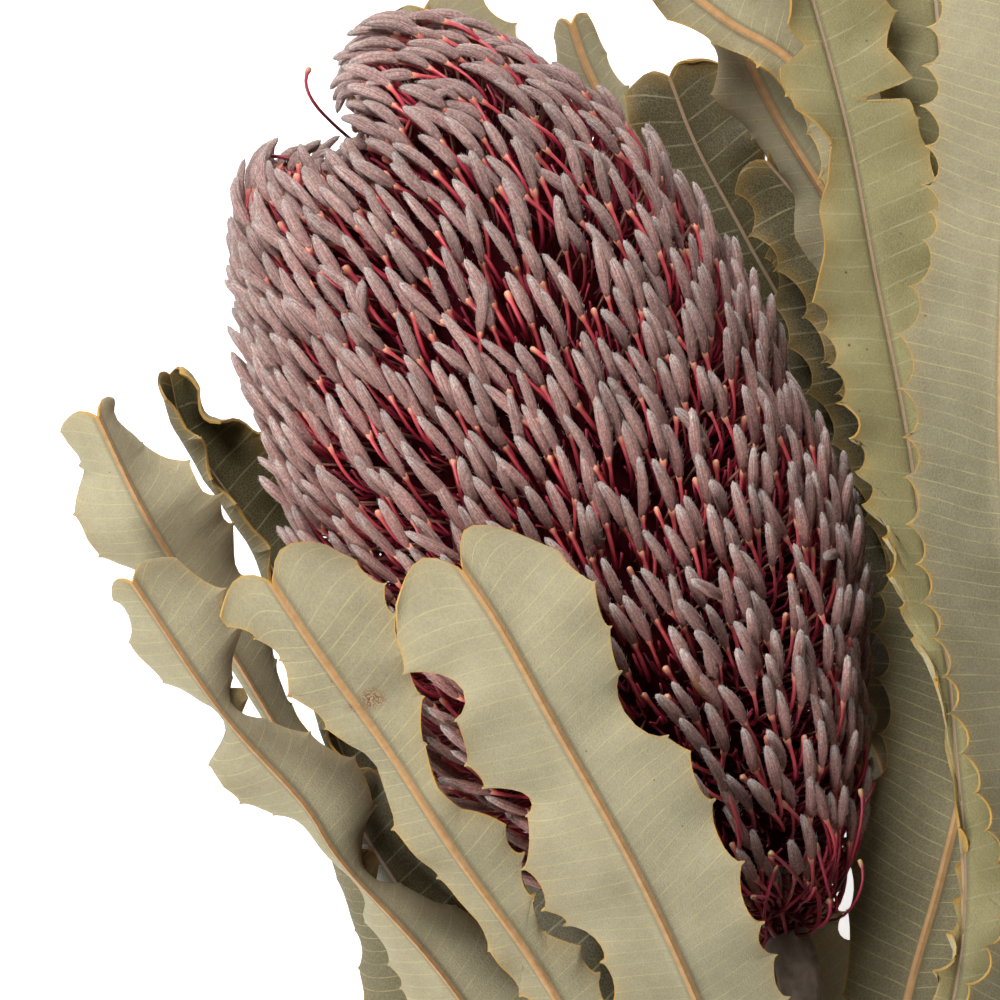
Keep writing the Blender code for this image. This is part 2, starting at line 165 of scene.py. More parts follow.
class SmoothLine:
    """A curve through given points, read by distance along it in millimetres."""

    STEPS = 24
    REACH = 0.6

    def __init__(self, points: tuple[tuple[float, float, float], ...]) -> None:
        """Sample the curve.

        Args:
            points: Points that it passes through.
        """
        anchors = np.array(points, float)
        knots = np.vstack([2 * anchors[0] - anchors[1], anchors, 2 * anchors[-1] - anchors[-2]])
        samples = [anchors[:1]]
        parameters = [np.zeros(1)]
        share = (np.arange(self.STEPS) + 1)[:, None] / self.STEPS
        for index in range(len(anchors) - 1):
            before, start, end, after = knots[index:index + 4]
            cubic = (3 * (start - end) + after - before) * share ** 3
            square = (2 * before - 5 * start + 4 * end - after) * share ** 2
            samples.append(0.5 * (2 * start + (end - before) * share + square + cubic))
            parameters.append(index + share[:, 0])
        self.samples = np.vstack(samples)
        self.parameters = np.concatenate(parameters)
        steps = np.linalg.norm(np.diff(self.samples, axis=0), axis=1)
        self.lengths = np.concatenate([[0.0], np.cumsum(steps)])
        self.length = float(self.lengths[-1])

    def at(self, distance: np.ndarray) -> np.ndarray:
        """Find points at given distances; past either end the curve runs on straight.

        Args:
            distance: Millimetres along the curve.

        Returns:
            One point for each distance.
        """
        distance = np.asarray(distance, float)
        inside = np.clip(distance, 0.0, self.length)
        points = np.stack([np.interp(inside, self.lengths, column) for column in self.samples.T], axis=-1)
        first = unit(self.samples[1] - self.samples[0])
        last = unit(self.samples[-1] - self.samples[-2])
        over = np.maximum(distance - self.length, 0.0)[..., None]
        under = np.minimum(distance, 0.0)[..., None]
        return points + over * last + under * first

    def tangent(self, distance: np.ndarray) -> np.ndarray:
        """Unit directions at given distances."""
        distance = np.asarray(distance, float)
        return unit(self.at(distance + self.REACH) - self.at(distance - self.REACH))

    def blend(self, distance: np.ndarray, values: tuple[float, ...]) -> np.ndarray:
        """Read values given at the curve's points, at given distances."""
        parameter = np.interp(distance, self.lengths, self.parameters)
        return np.interp(parameter, np.arange(len(values)), values)


def side_and_up(tangent: np.ndarray) -> tuple[np.ndarray, np.ndarray]:
    """The level direction to the left of each tangent, and the one square to both."""
    side = unit(np.cross(np.array([0.0, 0.0, 1.0]), tangent))
    return side, np.cross(tangent, side)


@dataclass(frozen=True)
class Prototype:
    """A small form modelled once: its points, its faces, and its height from 0 to 1."""

    points: np.ndarray
    faces: list

    @classmethod
    def turned(cls, sides: int, rings: tuple, tip: bool) -> "Prototype":
        """Model a closed form of rings with bpy.ops: a disc, extruded and scaled ring by ring.

        Args:
            sides: Corners of a ring.
            rings: Height, half width and half depth of each ring, from the foot up.
            tip: Whether the last ring is drawn together to a point.

        Returns:
            The form, its object removed.
        """
        deselect_all()
        height, width, depth = rings[0]
        bpy.ops.mesh.primitive_circle_add(vertices=sides, radius=1.0, fill_type="NGON", location=(0, 0, 0))
        form = bpy.context.object
        bpy.ops.object.mode_set(mode="EDIT")
        bpy.ops.transform.resize(value=(width, depth, 1.0))
        bpy.ops.mesh.flip_normals()
        for upper in rings[1:]:
            rise = upper[0] - height
            bpy.ops.mesh.extrude_region_move(TRANSFORM_OT_translate={"value": (0, 0, rise)})
            scale = (upper[1] / width, upper[2] / depth, 1.0)
            bpy.ops.transform.resize(value=scale, center_override=(0, 0, upper[0]))
            height, width, depth = upper
        if tip:
            bpy.ops.mesh.merge(type="CENTER")
        bpy.ops.mesh.select_all(action="SELECT")
        bpy.ops.mesh.normals_make_consistent(inside=False)
        bpy.ops.object.mode_set(mode="OBJECT")
        points = np.array([tuple(vertex.co) for vertex in form.data.vertices])
        faces = [list(face.vertices) for face in form.data.polygons]
        mesh = form.data
        bpy.data.objects.remove(form)
        bpy.data.meshes.remove(mesh)
        return cls(points, faces)


def scaled(rings: tuple, width: float) -> tuple:
    """Turn rings of a height and two shares of a width into sizes.

    Args:
        rings: Height and two shares for each ring.
        width: What the shares are of.

    Returns:
        The rings with sizes in place of shares.
    """
    return tuple((height, across * width, deep * width) for height, across, deep in rings)


@dataclass
class Paths:
    """Where the copies of a prototype go: a route for each, with the way across it."""

    points: np.ndarray
    across: np.ndarray
    width: np.ndarray

    def frames(self, height: float) -> tuple[np.ndarray, np.ndarray, np.ndarray]:
        """Find where every route is at one height, and which way it turns there.

        Args:
            height: From 0 at the foot to 1 at the tip.

        Returns:
            Centre, way across and way outward of every route.
        """
        steps = self.points.shape[1] - 1
        place = min(max(height, 0.0), 1.0) * steps
        index = min(int(place), steps - 1)
        share = place - index
        centre = self.points[:, index] * (1 - share) + self.points[:, index + 1] * share
        low = max(index - 1, 0) if share < 0.5 else index
        tangent = unit(self.points[:, min(low + 2, steps)] - self.points[:, low])
        across = unit(self.across - np.sum(self.across * tangent, axis=1, keepdims=True) * tangent)
        return centre, across, np.cross(tangent, across)


def stamp(name: str, prototype: Prototype, paths: Paths, material: bpy.types.Material,
          tint: np.ndarray) -> bpy.types.Object:
    """Copy a prototype along many routes into one mesh.

    Args:
        name: Name of the piece.
        prototype: Form to copy, with heights from 0 to 1 and widths in millimetres.
        paths: One route for each copy.
        material: Finish of the piece.
        tint: A number from 0 to 1 for each copy, kept as an attribute.

    Returns:
        The piece, with its along, tint and grain attributes.
    """
    count = len(paths.points)
    corners = len(prototype.points)
    placed = np.zeros((count, corners, 3))
    for height in np.unique(prototype.points[:, 2]):
        centre, across, outward = paths.frames(float(height))
        for index in np.flatnonzero(prototype.points[:, 2] == height):
            x, y, _ = prototype.points[index]
            placed[:, index] = centre + paths.width[:, None] * (x * across + y * outward)
    # No copy reaches below the surface that the stem lies on
    placed[:, :, 2] = np.maximum(placed[:, :, 2], 0.0)
    faces = []
    for copy in range(count):
        start = copy * corners
        faces.extend([[start + corner for corner in face] for face in prototype.faces])
    mesh = bpy.data.meshes.new(name)
    mesh.from_pydata((placed.reshape(-1, 3) * MM).tolist(), [], faces)
    turn = np.arctan2(prototype.points[:, 1], prototype.points[:, 0])
    along = np.tile(prototype.points[:, 2], count)
    grain = np.zeros((count, corners, 3))
    grain[:, :, 0] = np.cos(turn) + tint[:, None] * GRAIN_SHIFT_X
    grain[:, :, 1] = np.sin(turn) + tint[:, None] * GRAIN_SHIFT_Y
    grain[:, :, 2] = prototype.points[:, 2] * GRAIN_STRETCH
    mesh.attributes.new("along", "FLOAT", "POINT").data.foreach_set("value", along)
    mesh.attributes.new("tint", "FLOAT", "POINT").data.foreach_set("value", np.repeat(tint, corners))
    mesh.attributes.new("grain", "FLOAT_VECTOR", "POINT").data.foreach_set("vector", grain.ravel())
    mesh.materials.append(material)
    mesh.polygons.foreach_set("use_smooth", np.ones(len(mesh.polygons), bool))
    mesh.update()
    piece = bpy.data.objects.new(name, mesh)
    bpy.context.scene.collection.objects.link(piece)
    return piece


@dataclass(frozen=True)
class FloretFelt:
    """Felt of short pale hairs on a floret's limb: dull, with lengthwise furrows and a lighter tip."""

    foot: str = "B46E66"
    belly: str = "AE786C"
    pale: str = "C49E91"
    tip: str = "EEE6DE"
    # Pale grey of the painted light on limbs toward the spike's tip
    painted_light_pale: str = "CDBCB3"
    furrow: str = "80444A"
    stain: str = "C98A3A"
    sheen: str = "F1E8E2"
    furrow_width: float = 0.1527
    hair_bundle: float = 0.3125

    def build(self) -> bpy.types.Material:
        """Make the material.

        Returns:
            The material.
        """
        material, tree, shader = new_material("floret limb felt")
        along = add_node(tree, "ShaderNodeAttribute", attribute_name="along").outputs["Fac"]
        tint = add_node(tree, "ShaderNodeAttribute", attribute_name="tint").outputs["Fac"]
        grain = add_node(tree, "ShaderNodeAttribute", attribute_name="grain").outputs["Vector"]
        lengthwise = add_node(tree, "ShaderNodeValToRGB", {"Fac": along})
        ramp = lengthwise.color_ramp
        ramp.elements[0].color = linear(self.foot)
        ramp.elements[1].color = linear(self.tip)
        ramp.elements.new(0.25).color = linear(self.belly)
        ramp.elements.new(0.7).color = linear(self.pale)
        place = add_node(tree, "ShaderNodeTexCoord").outputs["Object"]
        # Painted light: toward the spike's tip the limbs are mixed toward pale grey, where the light falls
        # brightest
        height = add_node(tree, "ShaderNodeSeparateXYZ", {"Vector": place}).outputs["X"]
        painted_light_share = add_node(tree, "ShaderNodeMapRange", {"Value": height, "From Min": -0.01, "From Max": 0.055,
                                                    "To Max": 0.5})
        painted_light_mix = add_node(tree, "ShaderNodeMix", {0: painted_light_share.outputs["Result"], 6: lengthwise.outputs["Color"],
                                                  7: linear(self.painted_light_pale)}, data_type="RGBA")
        furrows = add_node(tree, "ShaderNodeTexNoise", {"Vector": grain, "Detail": 4.0, "Roughness": 0.7,
                                                        "Scale": LIMB_HALF_WIDTH / self.furrow_width})
        depth = add_node(tree, "ShaderNodeMapRange", {"Value": furrows.outputs["Fac"], "From Min": 0.4,
                                                      "From Max": 0.6, "To Min": 0.7, "To Max": 0.0})
        grooved = add_node(tree, "ShaderNodeMix", {0: depth.outputs["Result"],
                                                   6: painted_light_mix.outputs[2],
                                                   7: linear(self.furrow)}, data_type="RGBA")
        # Hair bundles about 0.3 mm across, drawn coarser than the real hairs so that they show
        hairs = add_node(tree, "ShaderNodeTexNoise", {"Vector": place, "Detail": 3.0, "Roughness": 0.7,
                                                      "Scale": 1.0 / (self.hair_bundle * MM)})
        grit = add_node(tree, "ShaderNodeMapRange", {"Value": hairs.outputs["Fac"], "From Min": 0.36,
                                                     "From Max": 0.64, "To Min": 0.6, "To Max": 1.28})
        gritty = add_node(tree, "ShaderNodeMix", {0: 1.0, 6: grooved.outputs[2],
                                                  7: grit.outputs["Result"]},
                          data_type="RGBA", blend_type="MULTIPLY")
        dim = add_node(tree, "ShaderNodeMapRange", {"Value": tint, "To Min": 0.74, "To Max": 1.12})
        varied = add_node(tree, "ShaderNodeMix", {0: 1.0, 6: gritty.outputs[2],
                                                  7: dim.outputs["Result"]},
                          data_type="RGBA", blend_type="MULTIPLY")
        stained = add_node(tree, "ShaderNodeMath", {0: tint, 1: 0.996}, operation="GREATER_THAN")
        dusted = add_node(tree, "ShaderNodeMapRange", {"Value": along, "From Min": 0.15, "From Max": 0.6,
                                                       "To Min": 0.7, "To Max": 0.0})
        pollen = add_node(tree, "ShaderNodeMath", {0: stained.outputs[0], 1: dusted.outputs[0]},
                          operation="MULTIPLY")
        colour = add_node(tree, "ShaderNodeMix", {0: pollen.outputs[0], 6: varied.outputs[2],
                                                  7: linear(self.stain)}, data_type="RGBA")
        tree.links.new(colour.outputs[2], shader.inputs["Base Color"])
        relief = add_node(tree, "ShaderNodeMath", {0: hairs.outputs["Fac"], 1: furrows.outputs["Fac"]},
                          operation="ADD")
        bump = add_node(tree, "ShaderNodeBump", {"Strength": 0.9, "Distance": 0.0002,
                                                 "Height": relief.outputs[0]})
        tree.links.new(bump.outputs["Normal"], shader.inputs["Normal"])
        shader.inputs["Roughness"].default_value = 0.95
        shader.inputs["Specular IOR Level"].default_value = 0.2
        shader.inputs["Sheen Weight"].default_value = 0.2
        shader.inputs["Sheen Roughness"].default_value = 0.65
        shader.inputs["Sheen Tint"].default_value = linear(self.sheen)
        return material


@dataclass(frozen=True)
class HairFinish:
    """Single pale hairs that stand off the limbs: dull and pale, so that each limb's outline looks soft."""

    colour: str = "C6B6AE"

    def build(self) -> bpy.types.Material:
        """Make the material.

        Returns:
            The material.
        """
        material, tree, shader = new_material("floret hairs")
        tint = add_node(tree, "ShaderNodeAttribute", attribute_name="tint").outputs["Fac"]
        dim = add_node(tree, "ShaderNodeMapRange", {"Value": tint, "To Min": 0.75, "To Max": 1.05})
        colour = add_node(tree, "ShaderNodeMix", {0: 1.0, 6: linear(self.colour), 7: dim.outputs["Result"]},
                          data_type="RGBA", blend_type="MULTIPLY")
        tree.links.new(colour.outputs[2], shader.inputs["Base Color"])
        shader.inputs["Roughness"].default_value = 0.9
        shader.inputs["Specular IOR Level"].default_value = 0.15
        return material


@dataclass(frozen=True)
class StyleSkin:
    """Waxy skin of a dried style: smooth, half glossy, coral where it bows out and crimson inside, darkened
    toward its inner end as painted shade.
    """

    collar: str = "F0B08C"
    outer: str = "D8585C"
    middle: str = "B02C44"
    # Dark crimson: the style's own red darkened as painted shade deep in the spike
    inner: str = "641022"

    def build(self) -> bpy.types.Material:
        """Make the material.

        Returns:
            The material.
        """
        material, tree, shader = new_material("style waxy skin")
        along = add_node(tree, "ShaderNodeAttribute", attribute_name="along").outputs["Fac"]
        tint = add_node(tree, "ShaderNodeAttribute", attribute_name="tint").outputs["Fac"]
        # Painted shade: from coral the colour darkens to deep crimson as the style runs deeper into the spike
        lengthwise = add_node(tree, "ShaderNodeValToRGB", {"Fac": along})
        ramp = lengthwise.color_ramp
        ramp.elements[0].color = linear(self.collar)
        ramp.elements[1].color = linear(self.inner)
        ramp.elements.new(0.08).color = linear(self.outer)
        ramp.elements.new(0.34).color = linear(self.middle)
        ramp.elements.new(0.62).color = linear(self.inner)
        dim = add_node(tree, "ShaderNodeMapRange", {"Value": tint, "To Min": 0.72, "To Max": 1.15})
        varied = add_node(tree, "ShaderNodeMix", {0: 1.0, 6: lengthwise.outputs["Color"],
                                                  7: dim.outputs["Result"]},
                          data_type="RGBA", blend_type="MULTIPLY")
        tree.links.new(varied.outputs[2], shader.inputs["Base Color"])
        shader.inputs["Roughness"].default_value = 0.36
        shader.inputs["IOR"].default_value = 1.45
        return material


@dataclass(frozen=True)
class PlainDry:
    """A dry, dull plant surface with a soft mottle: bark, the cut, and what lies deep in the spike."""

    name: str
    light: str
    dark: str
    grain_mm: float
    roughness: float = 0.85
    specular: float = 0.5

    def build(self) -> bpy.types.Material:
        """Make the material.

        Returns:
            The material.
        """
        material, tree, shader = new_material(self.name)
        place = add_node(tree, "ShaderNodeTexCoord").outputs["Object"]
        mottle = add_node(tree, "ShaderNodeTexNoise", {"Vector": place, "Scale": 1.0 / (self.grain_mm * MM),
                                                       "Detail": 4.0})
        colour = add_node(tree, "ShaderNodeMix", {0: mottle.outputs["Fac"], 6: linear(self.dark),
                                                  7: linear(self.light)}, data_type="RGBA")
        tree.links.new(colour.outputs[2], shader.inputs["Base Color"])
        bump = add_node(tree, "ShaderNodeBump", {"Strength": 0.5, "Distance": 0.0003,
                                                 "Height": mottle.outputs["Fac"]})
        tree.links.new(bump.outputs["Normal"], shader.inputs["Normal"])
        shader.inputs["Roughness"].default_value = self.roughness
        shader.inputs["Specular IOR Level"].default_value = self.specular
        return material


@dataclass(frozen=True)
class LeafSkin:
    """Dried leaf face: felted grey-green below, waxy olive above, with veins, a rim and specks, and painted
    shade beside the midrib and where a leaf lies in shadow.

    Spacings, cells and sizes of patterns are in millimetres on the blade. The felt's is drawn coarser than
    the real hairs so that it shows.
    """

    face: Face
    ground: str
    shade: str
    vein: str
    midrib: str
    crease: str
    rim: str
    speck: str
    vein_spacing: float = 2.6
    net_cell: float = 0.5
    net_strength: float = 0.13
    wash: float = 0.12
    speck_cell: float = 5.0
    roughness: float = 0.85
    wobble_size: float = 16.67
    break_size: float = 2.857
    cloud_size: float = 11.11
    felt_size: float = 0.2174
    fibre_size: float = 1.111
    rim_patch: float = 4.545

    def vein_lines(self, tree: bpy.types.NodeTree, plan: bpy.types.NodeSocket) -> bpy.types.NodeSocket:
        """Side veins: lines that leave the midrib at about 75 degrees, fainter in patches.

        Args:
            tree: Node tree to add to.
            plan: Millimetres across and along the blade.

        Returns:
            Socket that is 1 on a vein and 0 between veins.
        """
        wobble = add_node(tree, "ShaderNodeTexNoise", {"Vector": plan, "Scale": 1.0 / self.wobble_size,
                                                        "Detail": 1.0})
        split = add_node(tree, "ShaderNodeSeparateXYZ", {"Vector": plan})
        out = add_node(tree, "ShaderNodeMath", {0: split.outputs["X"]}, operation="ABSOLUTE").outputs[0]
        slant = add_node(tree, "ShaderNodeMath", {0: out, 1: -0.27, 2: split.outputs["Y"]},
                         operation="MULTIPLY_ADD").outputs[0]
        bowed = add_node(tree, "ShaderNodeMath", {0: wobble.outputs["Fac"], 1: 3.2, 2: slant},
                         operation="MULTIPLY_ADD").outputs[0]
        counted = add_node(tree, "ShaderNodeMath", {0: bowed, 1: self.vein_spacing},
                           operation="DIVIDE").outputs[0]
        within = add_node(tree, "ShaderNodeMath", {0: counted}, operation="FRACT").outputs[0]
        offset = add_node(tree, "ShaderNodeMath", {0: within, 1: 0.5}, operation="SUBTRACT").outputs[0]
        apart = add_node(tree, "ShaderNodeMath", {0: offset}, operation="ABSOLUTE").outputs[0]
        line = add_node(tree, "ShaderNodeMapRange", {"Value": apart, "From Min": 0.012, "From Max": 0.055,
                                                     "To Min": 1.0, "To Max": 0.0})
        broken = add_node(tree, "ShaderNodeTexNoise", {"Vector": plan, "Scale": 1.0 / self.break_size,
                                                       "Detail": 2.0})
        strength = add_node(tree, "ShaderNodeMapRange", {"Value": broken.outputs["Fac"], "From Min": 0.34,
                                                         "From Max": 0.58, "To Min": 0.3})
        return add_node(tree, "ShaderNodeMath", {0: line.outputs[0], 1: strength.outputs[0]},
                        operation="MULTIPLY").outputs[0]

    def build(self) -> bpy.types.Material:
        """Make the material.

        Returns:
            The material.
        """
        material, tree, shader = new_material(f"dried leaf {self.face.value}")
        plan = add_node(tree, "ShaderNodeAttribute", attribute_name="plan").outputs["Vector"]
        edge, tone, rib_width, blotch = [
            add_node(tree, "ShaderNodeAttribute", attribute_name=name).outputs["Fac"]
            for name in ("edge", "tone", "rib", "stain")]
        veins = self.vein_lines(tree, plan)
        cells = add_node(tree, "ShaderNodeTexVoronoi", {"Vector": plan, "Scale": 1.0 / self.net_cell},
                         feature="DISTANCE_TO_EDGE")
        net = add_node(tree, "ShaderNodeMapRange", {"Value": cells.outputs["Distance"], "From Min": 0.02,
                                                    "From Max": 0.12, "To Min": 1.0,
                                                    "To Max": 0.0}).outputs[0]
        cloud = add_node(tree, "ShaderNodeTexNoise", {"Vector": plan, "Detail": 5.0, "Roughness": 0.6,
                                                      "Scale": 1.0 / self.cloud_size})
        patch = add_node(tree, "ShaderNodeMapRange", {"Value": cloud.outputs["Fac"], "From Min": 0.35,
                                                      "From Max": 0.7, "To Max": 0.42})
        # Mottled patches and the leaf's tone, which holds its own darker tone and painted shade where it lies
        # in shadow, mix the ground toward the shade colour
        darker = add_node(tree, "ShaderNodeMath", {0: patch.outputs[0], 1: tone}, operation="ADD",
                          use_clamp=True).outputs[0]
        ground = add_node(tree, "ShaderNodeMix", {0: darker, 6: linear(self.ground), 7: linear(self.shade)},
                          data_type="RGBA").outputs[2]
        felt = add_node(tree, "ShaderNodeTexNoise", {"Vector": plan, "Scale": 1.0 / self.felt_size,
                                                     "Detail": 3.0})
        grit = add_node(tree, "ShaderNodeMapRange", {"Value": felt.outputs["Fac"], "To Min": 0.76,
                                                     "To Max": 1.22})
        felted = add_node(tree, "ShaderNodeMix", {0: 1.0, 6: ground, 7: grit.outputs[0]}, data_type="RGBA",
                          blend_type="MULTIPLY").outputs[2]
        faint = add_node(tree, "ShaderNodeMath", {0: net, 1: self.net_strength},
                         operation="MULTIPLY").outputs[0]
        seen = add_node(tree, "ShaderNodeMath", {0: veins, 1: 0.46}, operation="MULTIPLY").outputs[0]
        across = add_node(tree, "ShaderNodeSeparateXYZ", {"Vector": plan}).outputs["X"]
        out = add_node(tree, "ShaderNodeMath", {0: across}, operation="ABSOLUTE").outputs[0]
        rib_core = add_node(tree, "ShaderNodeMath", {0: rib_width, 1: 0.6}, operation="MULTIPLY").outputs[0]
        rib_side = add_node(tree, "ShaderNodeMath", {0: rib_width, 1: 0.5}, operation="ADD").outputs[0]
        rib = add_node(tree, "ShaderNodeMapRange", {"Value": out, "From Min": rib_core, "From Max": rib_width,
                                                    "To Min": 1.0, "To Max": 0.0})
        fibre = add_node(tree, "ShaderNodeTexNoise", {"Vector": plan, "Scale": 1.0 / self.fibre_size,
                                                      "Detail": 2.0})
        rib_tone = add_node(tree, "ShaderNodeMix", {0: fibre.outputs["Fac"], 6: linear(self.crease),
                                                    7: linear(self.midrib)}, data_type="RGBA").outputs[2]
        # Painted shade: a darker band along both sides of the midrib, where the raised rib casts shade
        beside = add_node(tree, "ShaderNodeMapRange", {"Value": out, "From Min": rib_width,
                                                       "From Max": rib_side, "To Min": 0.55,
                                                       "To Max": 0.0}).outputs[0]
        washed = add_node(tree, "ShaderNodeMapRange", {"Value": edge, "From Min": 0.2, "From Max": 2.6,
                                                       "To Min": self.wash, "To Max": 0.0}).outputs[0]
        rim = add_node(tree, "ShaderNodeMapRange", {"Value": edge, "From Min": 0.08, "From Max": 0.27,
                                                    "To Min": 0.95, "To Max": 0.0}).outputs[0]
        patchy = add_node(tree, "ShaderNodeTexNoise", {"Vector": plan, "Scale": 1.0 / self.rim_patch,
                                                       "Detail": 3.0})
        strong = add_node(tree, "ShaderNodeMapRange", {"Value": patchy.outputs["Fac"], "From Min": 0.4,
                                                       "From Max": 0.62, "To Min": 0.5}).outputs[0]
        edged = add_node(tree, "ShaderNodeMath", {0: rim, 1: strong}, operation="MULTIPLY").outputs[0]
        dots = add_node(tree, "ShaderNodeTexVoronoi", {"Vector": plan, "Scale": 1.0 / self.speck_cell},
                        feature="F1")
        speck_size = 0.075 if self.face is Face.UPPER_SIDE else 0.03
        dot = add_node(tree, "ShaderNodeMapRange", {"Value": dots.outputs["Distance"],
                                                    "From Min": speck_size * 0.5, "From Max": speck_size,
                                                    "To Min": 0.9, "To Max": 0.0}).outputs[0]
        meshed = add_node(tree, "ShaderNodeMapRange", {"Value": felt.outputs["Fac"], "From Min": 0.42,
                                                       "From Max": 0.56}).outputs[0]
        browned = add_node(tree, "ShaderNodeMath", {0: blotch, 1: meshed}, operation="MULTIPLY").outputs[0]
        # Each layer goes over the one before: where it shows, and its colour
        layers = ((faint, linear(self.vein)), (seen, linear(self.vein)), (beside, linear(self.shade)),
                  (rib.outputs[0], rib_tone), (washed, linear(self.rim)), (edged, linear(self.rim)),
                  (dot, linear(self.speck)), (browned, linear(self.speck)))
        colour = felted
        for share, tint in layers:
            colour = add_node(tree, "ShaderNodeMix", {0: share, 6: colour, 7: tint},
                              data_type="RGBA").outputs[2]
        tree.links.new(colour, shader.inputs["Base Color"])
        raised = add_node(tree, "ShaderNodeMath", {0: veins, 1: 0.22, 2: felt.outputs["Fac"]},
                          operation="MULTIPLY_ADD").outputs[0]
        bump = add_node(tree, "ShaderNodeBump", {"Strength": 0.55, "Distance": 0.00018, "Height": raised})
        tree.links.new(bump.outputs["Normal"], shader.inputs["Normal"])
        shader.inputs["Roughness"].default_value = self.roughness
        shader.inputs["IOR"].default_value = 1.45
        return material


@dataclass(frozen=True)
class SpikeForm:
    """Envelope of the flower spike over its floret tips, the same as the solid's."""

    length: float = 121.5
    radius: float = 33.2
    axis_height: float = 35.0
    valley_depth: float = 9.0
    valley_width: float = 7.0
    valley_aside: float = 1.0
    valley_reach: float = 20.0
    axis_plan: tuple = ((-60, -5), (-52, -4.7), (-38, -2.3), (-19, 0), (7, 1.5), (30, 3), (45, 7), (55, 12))
    shares: tuple = ((0.0, 0.12), (0.012, 0.26), (0.045, 0.45), (0.115, 0.66), (0.187, 0.80), (0.276, 0.93),
                     (0.36, 0.99), (0.48, 1.0), (0.60, 0.985), (0.73, 0.92), (0.80, 0.86), (0.862, 0.78),
                     (0.91, 0.69), (0.955, 0.585), (0.985, 0.46), (1.0, 0.30), (0.99, 0.17), (0.965, 0.06),
                     (0.955, 0.0))

    def lines(self) -> tuple[SmoothLine, SmoothLine]:
        """The curved axis and the profile, as lines read by distance."""
        axis = SmoothLine(tuple((x, y, self.axis_height) for x, y in self.axis_plan))
        points = tuple((along * self.length, out * self.radius, 0.0) for along, out in self.shares)
        return axis, SmoothLine(points)


class SpikeSurface:
    """Places and directions on the spike's envelope, many at a time."""

    def __init__(self, form: SpikeForm) -> None:
        """Keep the envelope's axis and profile.

        Args:
            form: Sizes of the envelope.
        """
        self.form = form
        self.axis, self.profile = form.lines()

    def sunk(self, along: np.ndarray, out: np.ndarray, turn: np.ndarray) -> np.ndarray:
        """Find how far the valley across the spike's tip sets each point back along the axis.

        Args:
            along: Millimetres along the axis.
            out: Millimetres from the axis.
            turn: Angles round the axis.

        Returns:
            Millimetres back for each point.
        """
        form = self.form
        aside = out * np.cos(turn) - form.valley_aside
        near_tip = smoothstep((along - form.length + form.valley_reach) / form.valley_reach)
        return form.valley_depth * near_tip * np.exp(-(aside / form.valley_width) ** 2)

    def place(self, distance: np.ndarray, turn: np.ndarray, depth: np.ndarray | float = 0.0) -> np.ndarray:
        """Points on the envelope, or a depth below it.

        Args:
            distance: Millimetres along the profile from the foot.
            turn: Angles round the axis.
            depth: Millimetres below the envelope.

        Returns:
            One point for each place.
        """
        flat = self.profile.at(distance)
        slope = self.profile.tangent(distance)
        along = flat[..., 0] + depth * slope[..., 1]
        out = np.maximum(flat[..., 1] - depth * slope[..., 0], 0.3)
        along = along - self.sunk(along, out, turn)
        side, up = side_and_up(self.axis.tangent(along))
        spoke = np.cos(turn)[..., None] * side + np.sin(turn)[..., None] * up
        return self.axis.at(along) + out[..., None] * spoke

    def directions(self, distance: np.ndarray, turn: np.ndarray) -> tuple[np.ndarray, np.ndarray, np.ndarray]:
        """Find the ways on the envelope at each place.

        Args:
            distance: Millimetres along the profile from the foot.
            turn: Angles round the axis.

        Returns:
            The way to the tip, the way outward and the way across.
        """
        flat = self.profile.at(distance)
        slope = self.profile.tangent(distance)
        tangent = self.axis.tangent(flat[..., 0])
        side, up = side_and_up(tangent)
        spoke = np.cos(turn)[..., None] * side + np.sin(turn)[..., None] * up
        ahead = slope[..., :1] * tangent + slope[..., 1:2] * spoke
        outward = slope[..., :1] * spoke - slope[..., 1:2] * tangent
        return ahead, outward, np.cross(outward, ahead)

    def spread(self, count: int) -> tuple[np.ndarray, np.ndarray]:
        """Places of equal area each, turned by the golden angle from one to the next.

        Args:
            count: Number of places.

        Returns:
            Distances along the profile and angles.
        """
        distance = np.linspace(0.0, self.profile.length, 800)
        area = np.cumsum(self.profile.at(distance)[:, 1])
        wanted = area[-1] * (np.arange(count) + 0.5) / count
        golden_angle = math.pi * (3 - math.sqrt(5))
        return np.interp(wanted, area, distance), np.arange(count) * golden_angle


@dataclass
class InnerStyles:
    """Styles deeper in, which fill the dark between the florets with crimson.

    Sizes are in millimetres. A range is the least and the most of an even draw.
    """

    surface: SpikeSurface
    draw: np.random.Generator
    count: int = 3600
    place_stray: float = 1.0
    full_radius: float = 20.0
    least_room: float = 0.25
    depth_range: tuple = (2.8, 5.0)
    back_range: tuple = (1.5, 5.0)
    aside_stray: float = 1.0
    reach_range: tuple = (4.5, 6.5)
    sag: float = 0.3
    bow: float = 0.12
    width_range: tuple = (0.8, 1.2)

    def paths(self) -> Paths:
        """Draw the routes, from below the florets down to the core.

        Returns:
            One route for each style.
        """
        count, draw = self.count, self.draw
        distance, turn = self.surface.spread(count)
        distance = distance + draw.normal(0.0, self.place_stray, count)
        turn = turn + draw.uniform(0.0, 2 * math.pi, count)
        ahead, outward, across = self.surface.directions(distance, turn)
        room = np.clip(self.surface.profile.at(distance)[:, 1] / self.full_radius, self.least_room, 1.0)
        top = self.surface.place(distance, turn, room * draw.uniform(*self.depth_range, count))
        back = draw.uniform(*self.back_range, count)[:, None] * room[:, None]
        aside = draw.normal(0.0, self.aside_stray, count)[:, None]
        deep = draw.uniform(*self.reach_range, count)[:, None] * room[:, None]
        bottom = top - deep * outward - back * ahead + aside * across
        middle = (top + bottom) / 2 - self.sag * back * ahead + self.bow * deep * outward
        return Paths(np.stack([top, middle, bottom], axis=1), across, draw.uniform(*self.width_range, count))


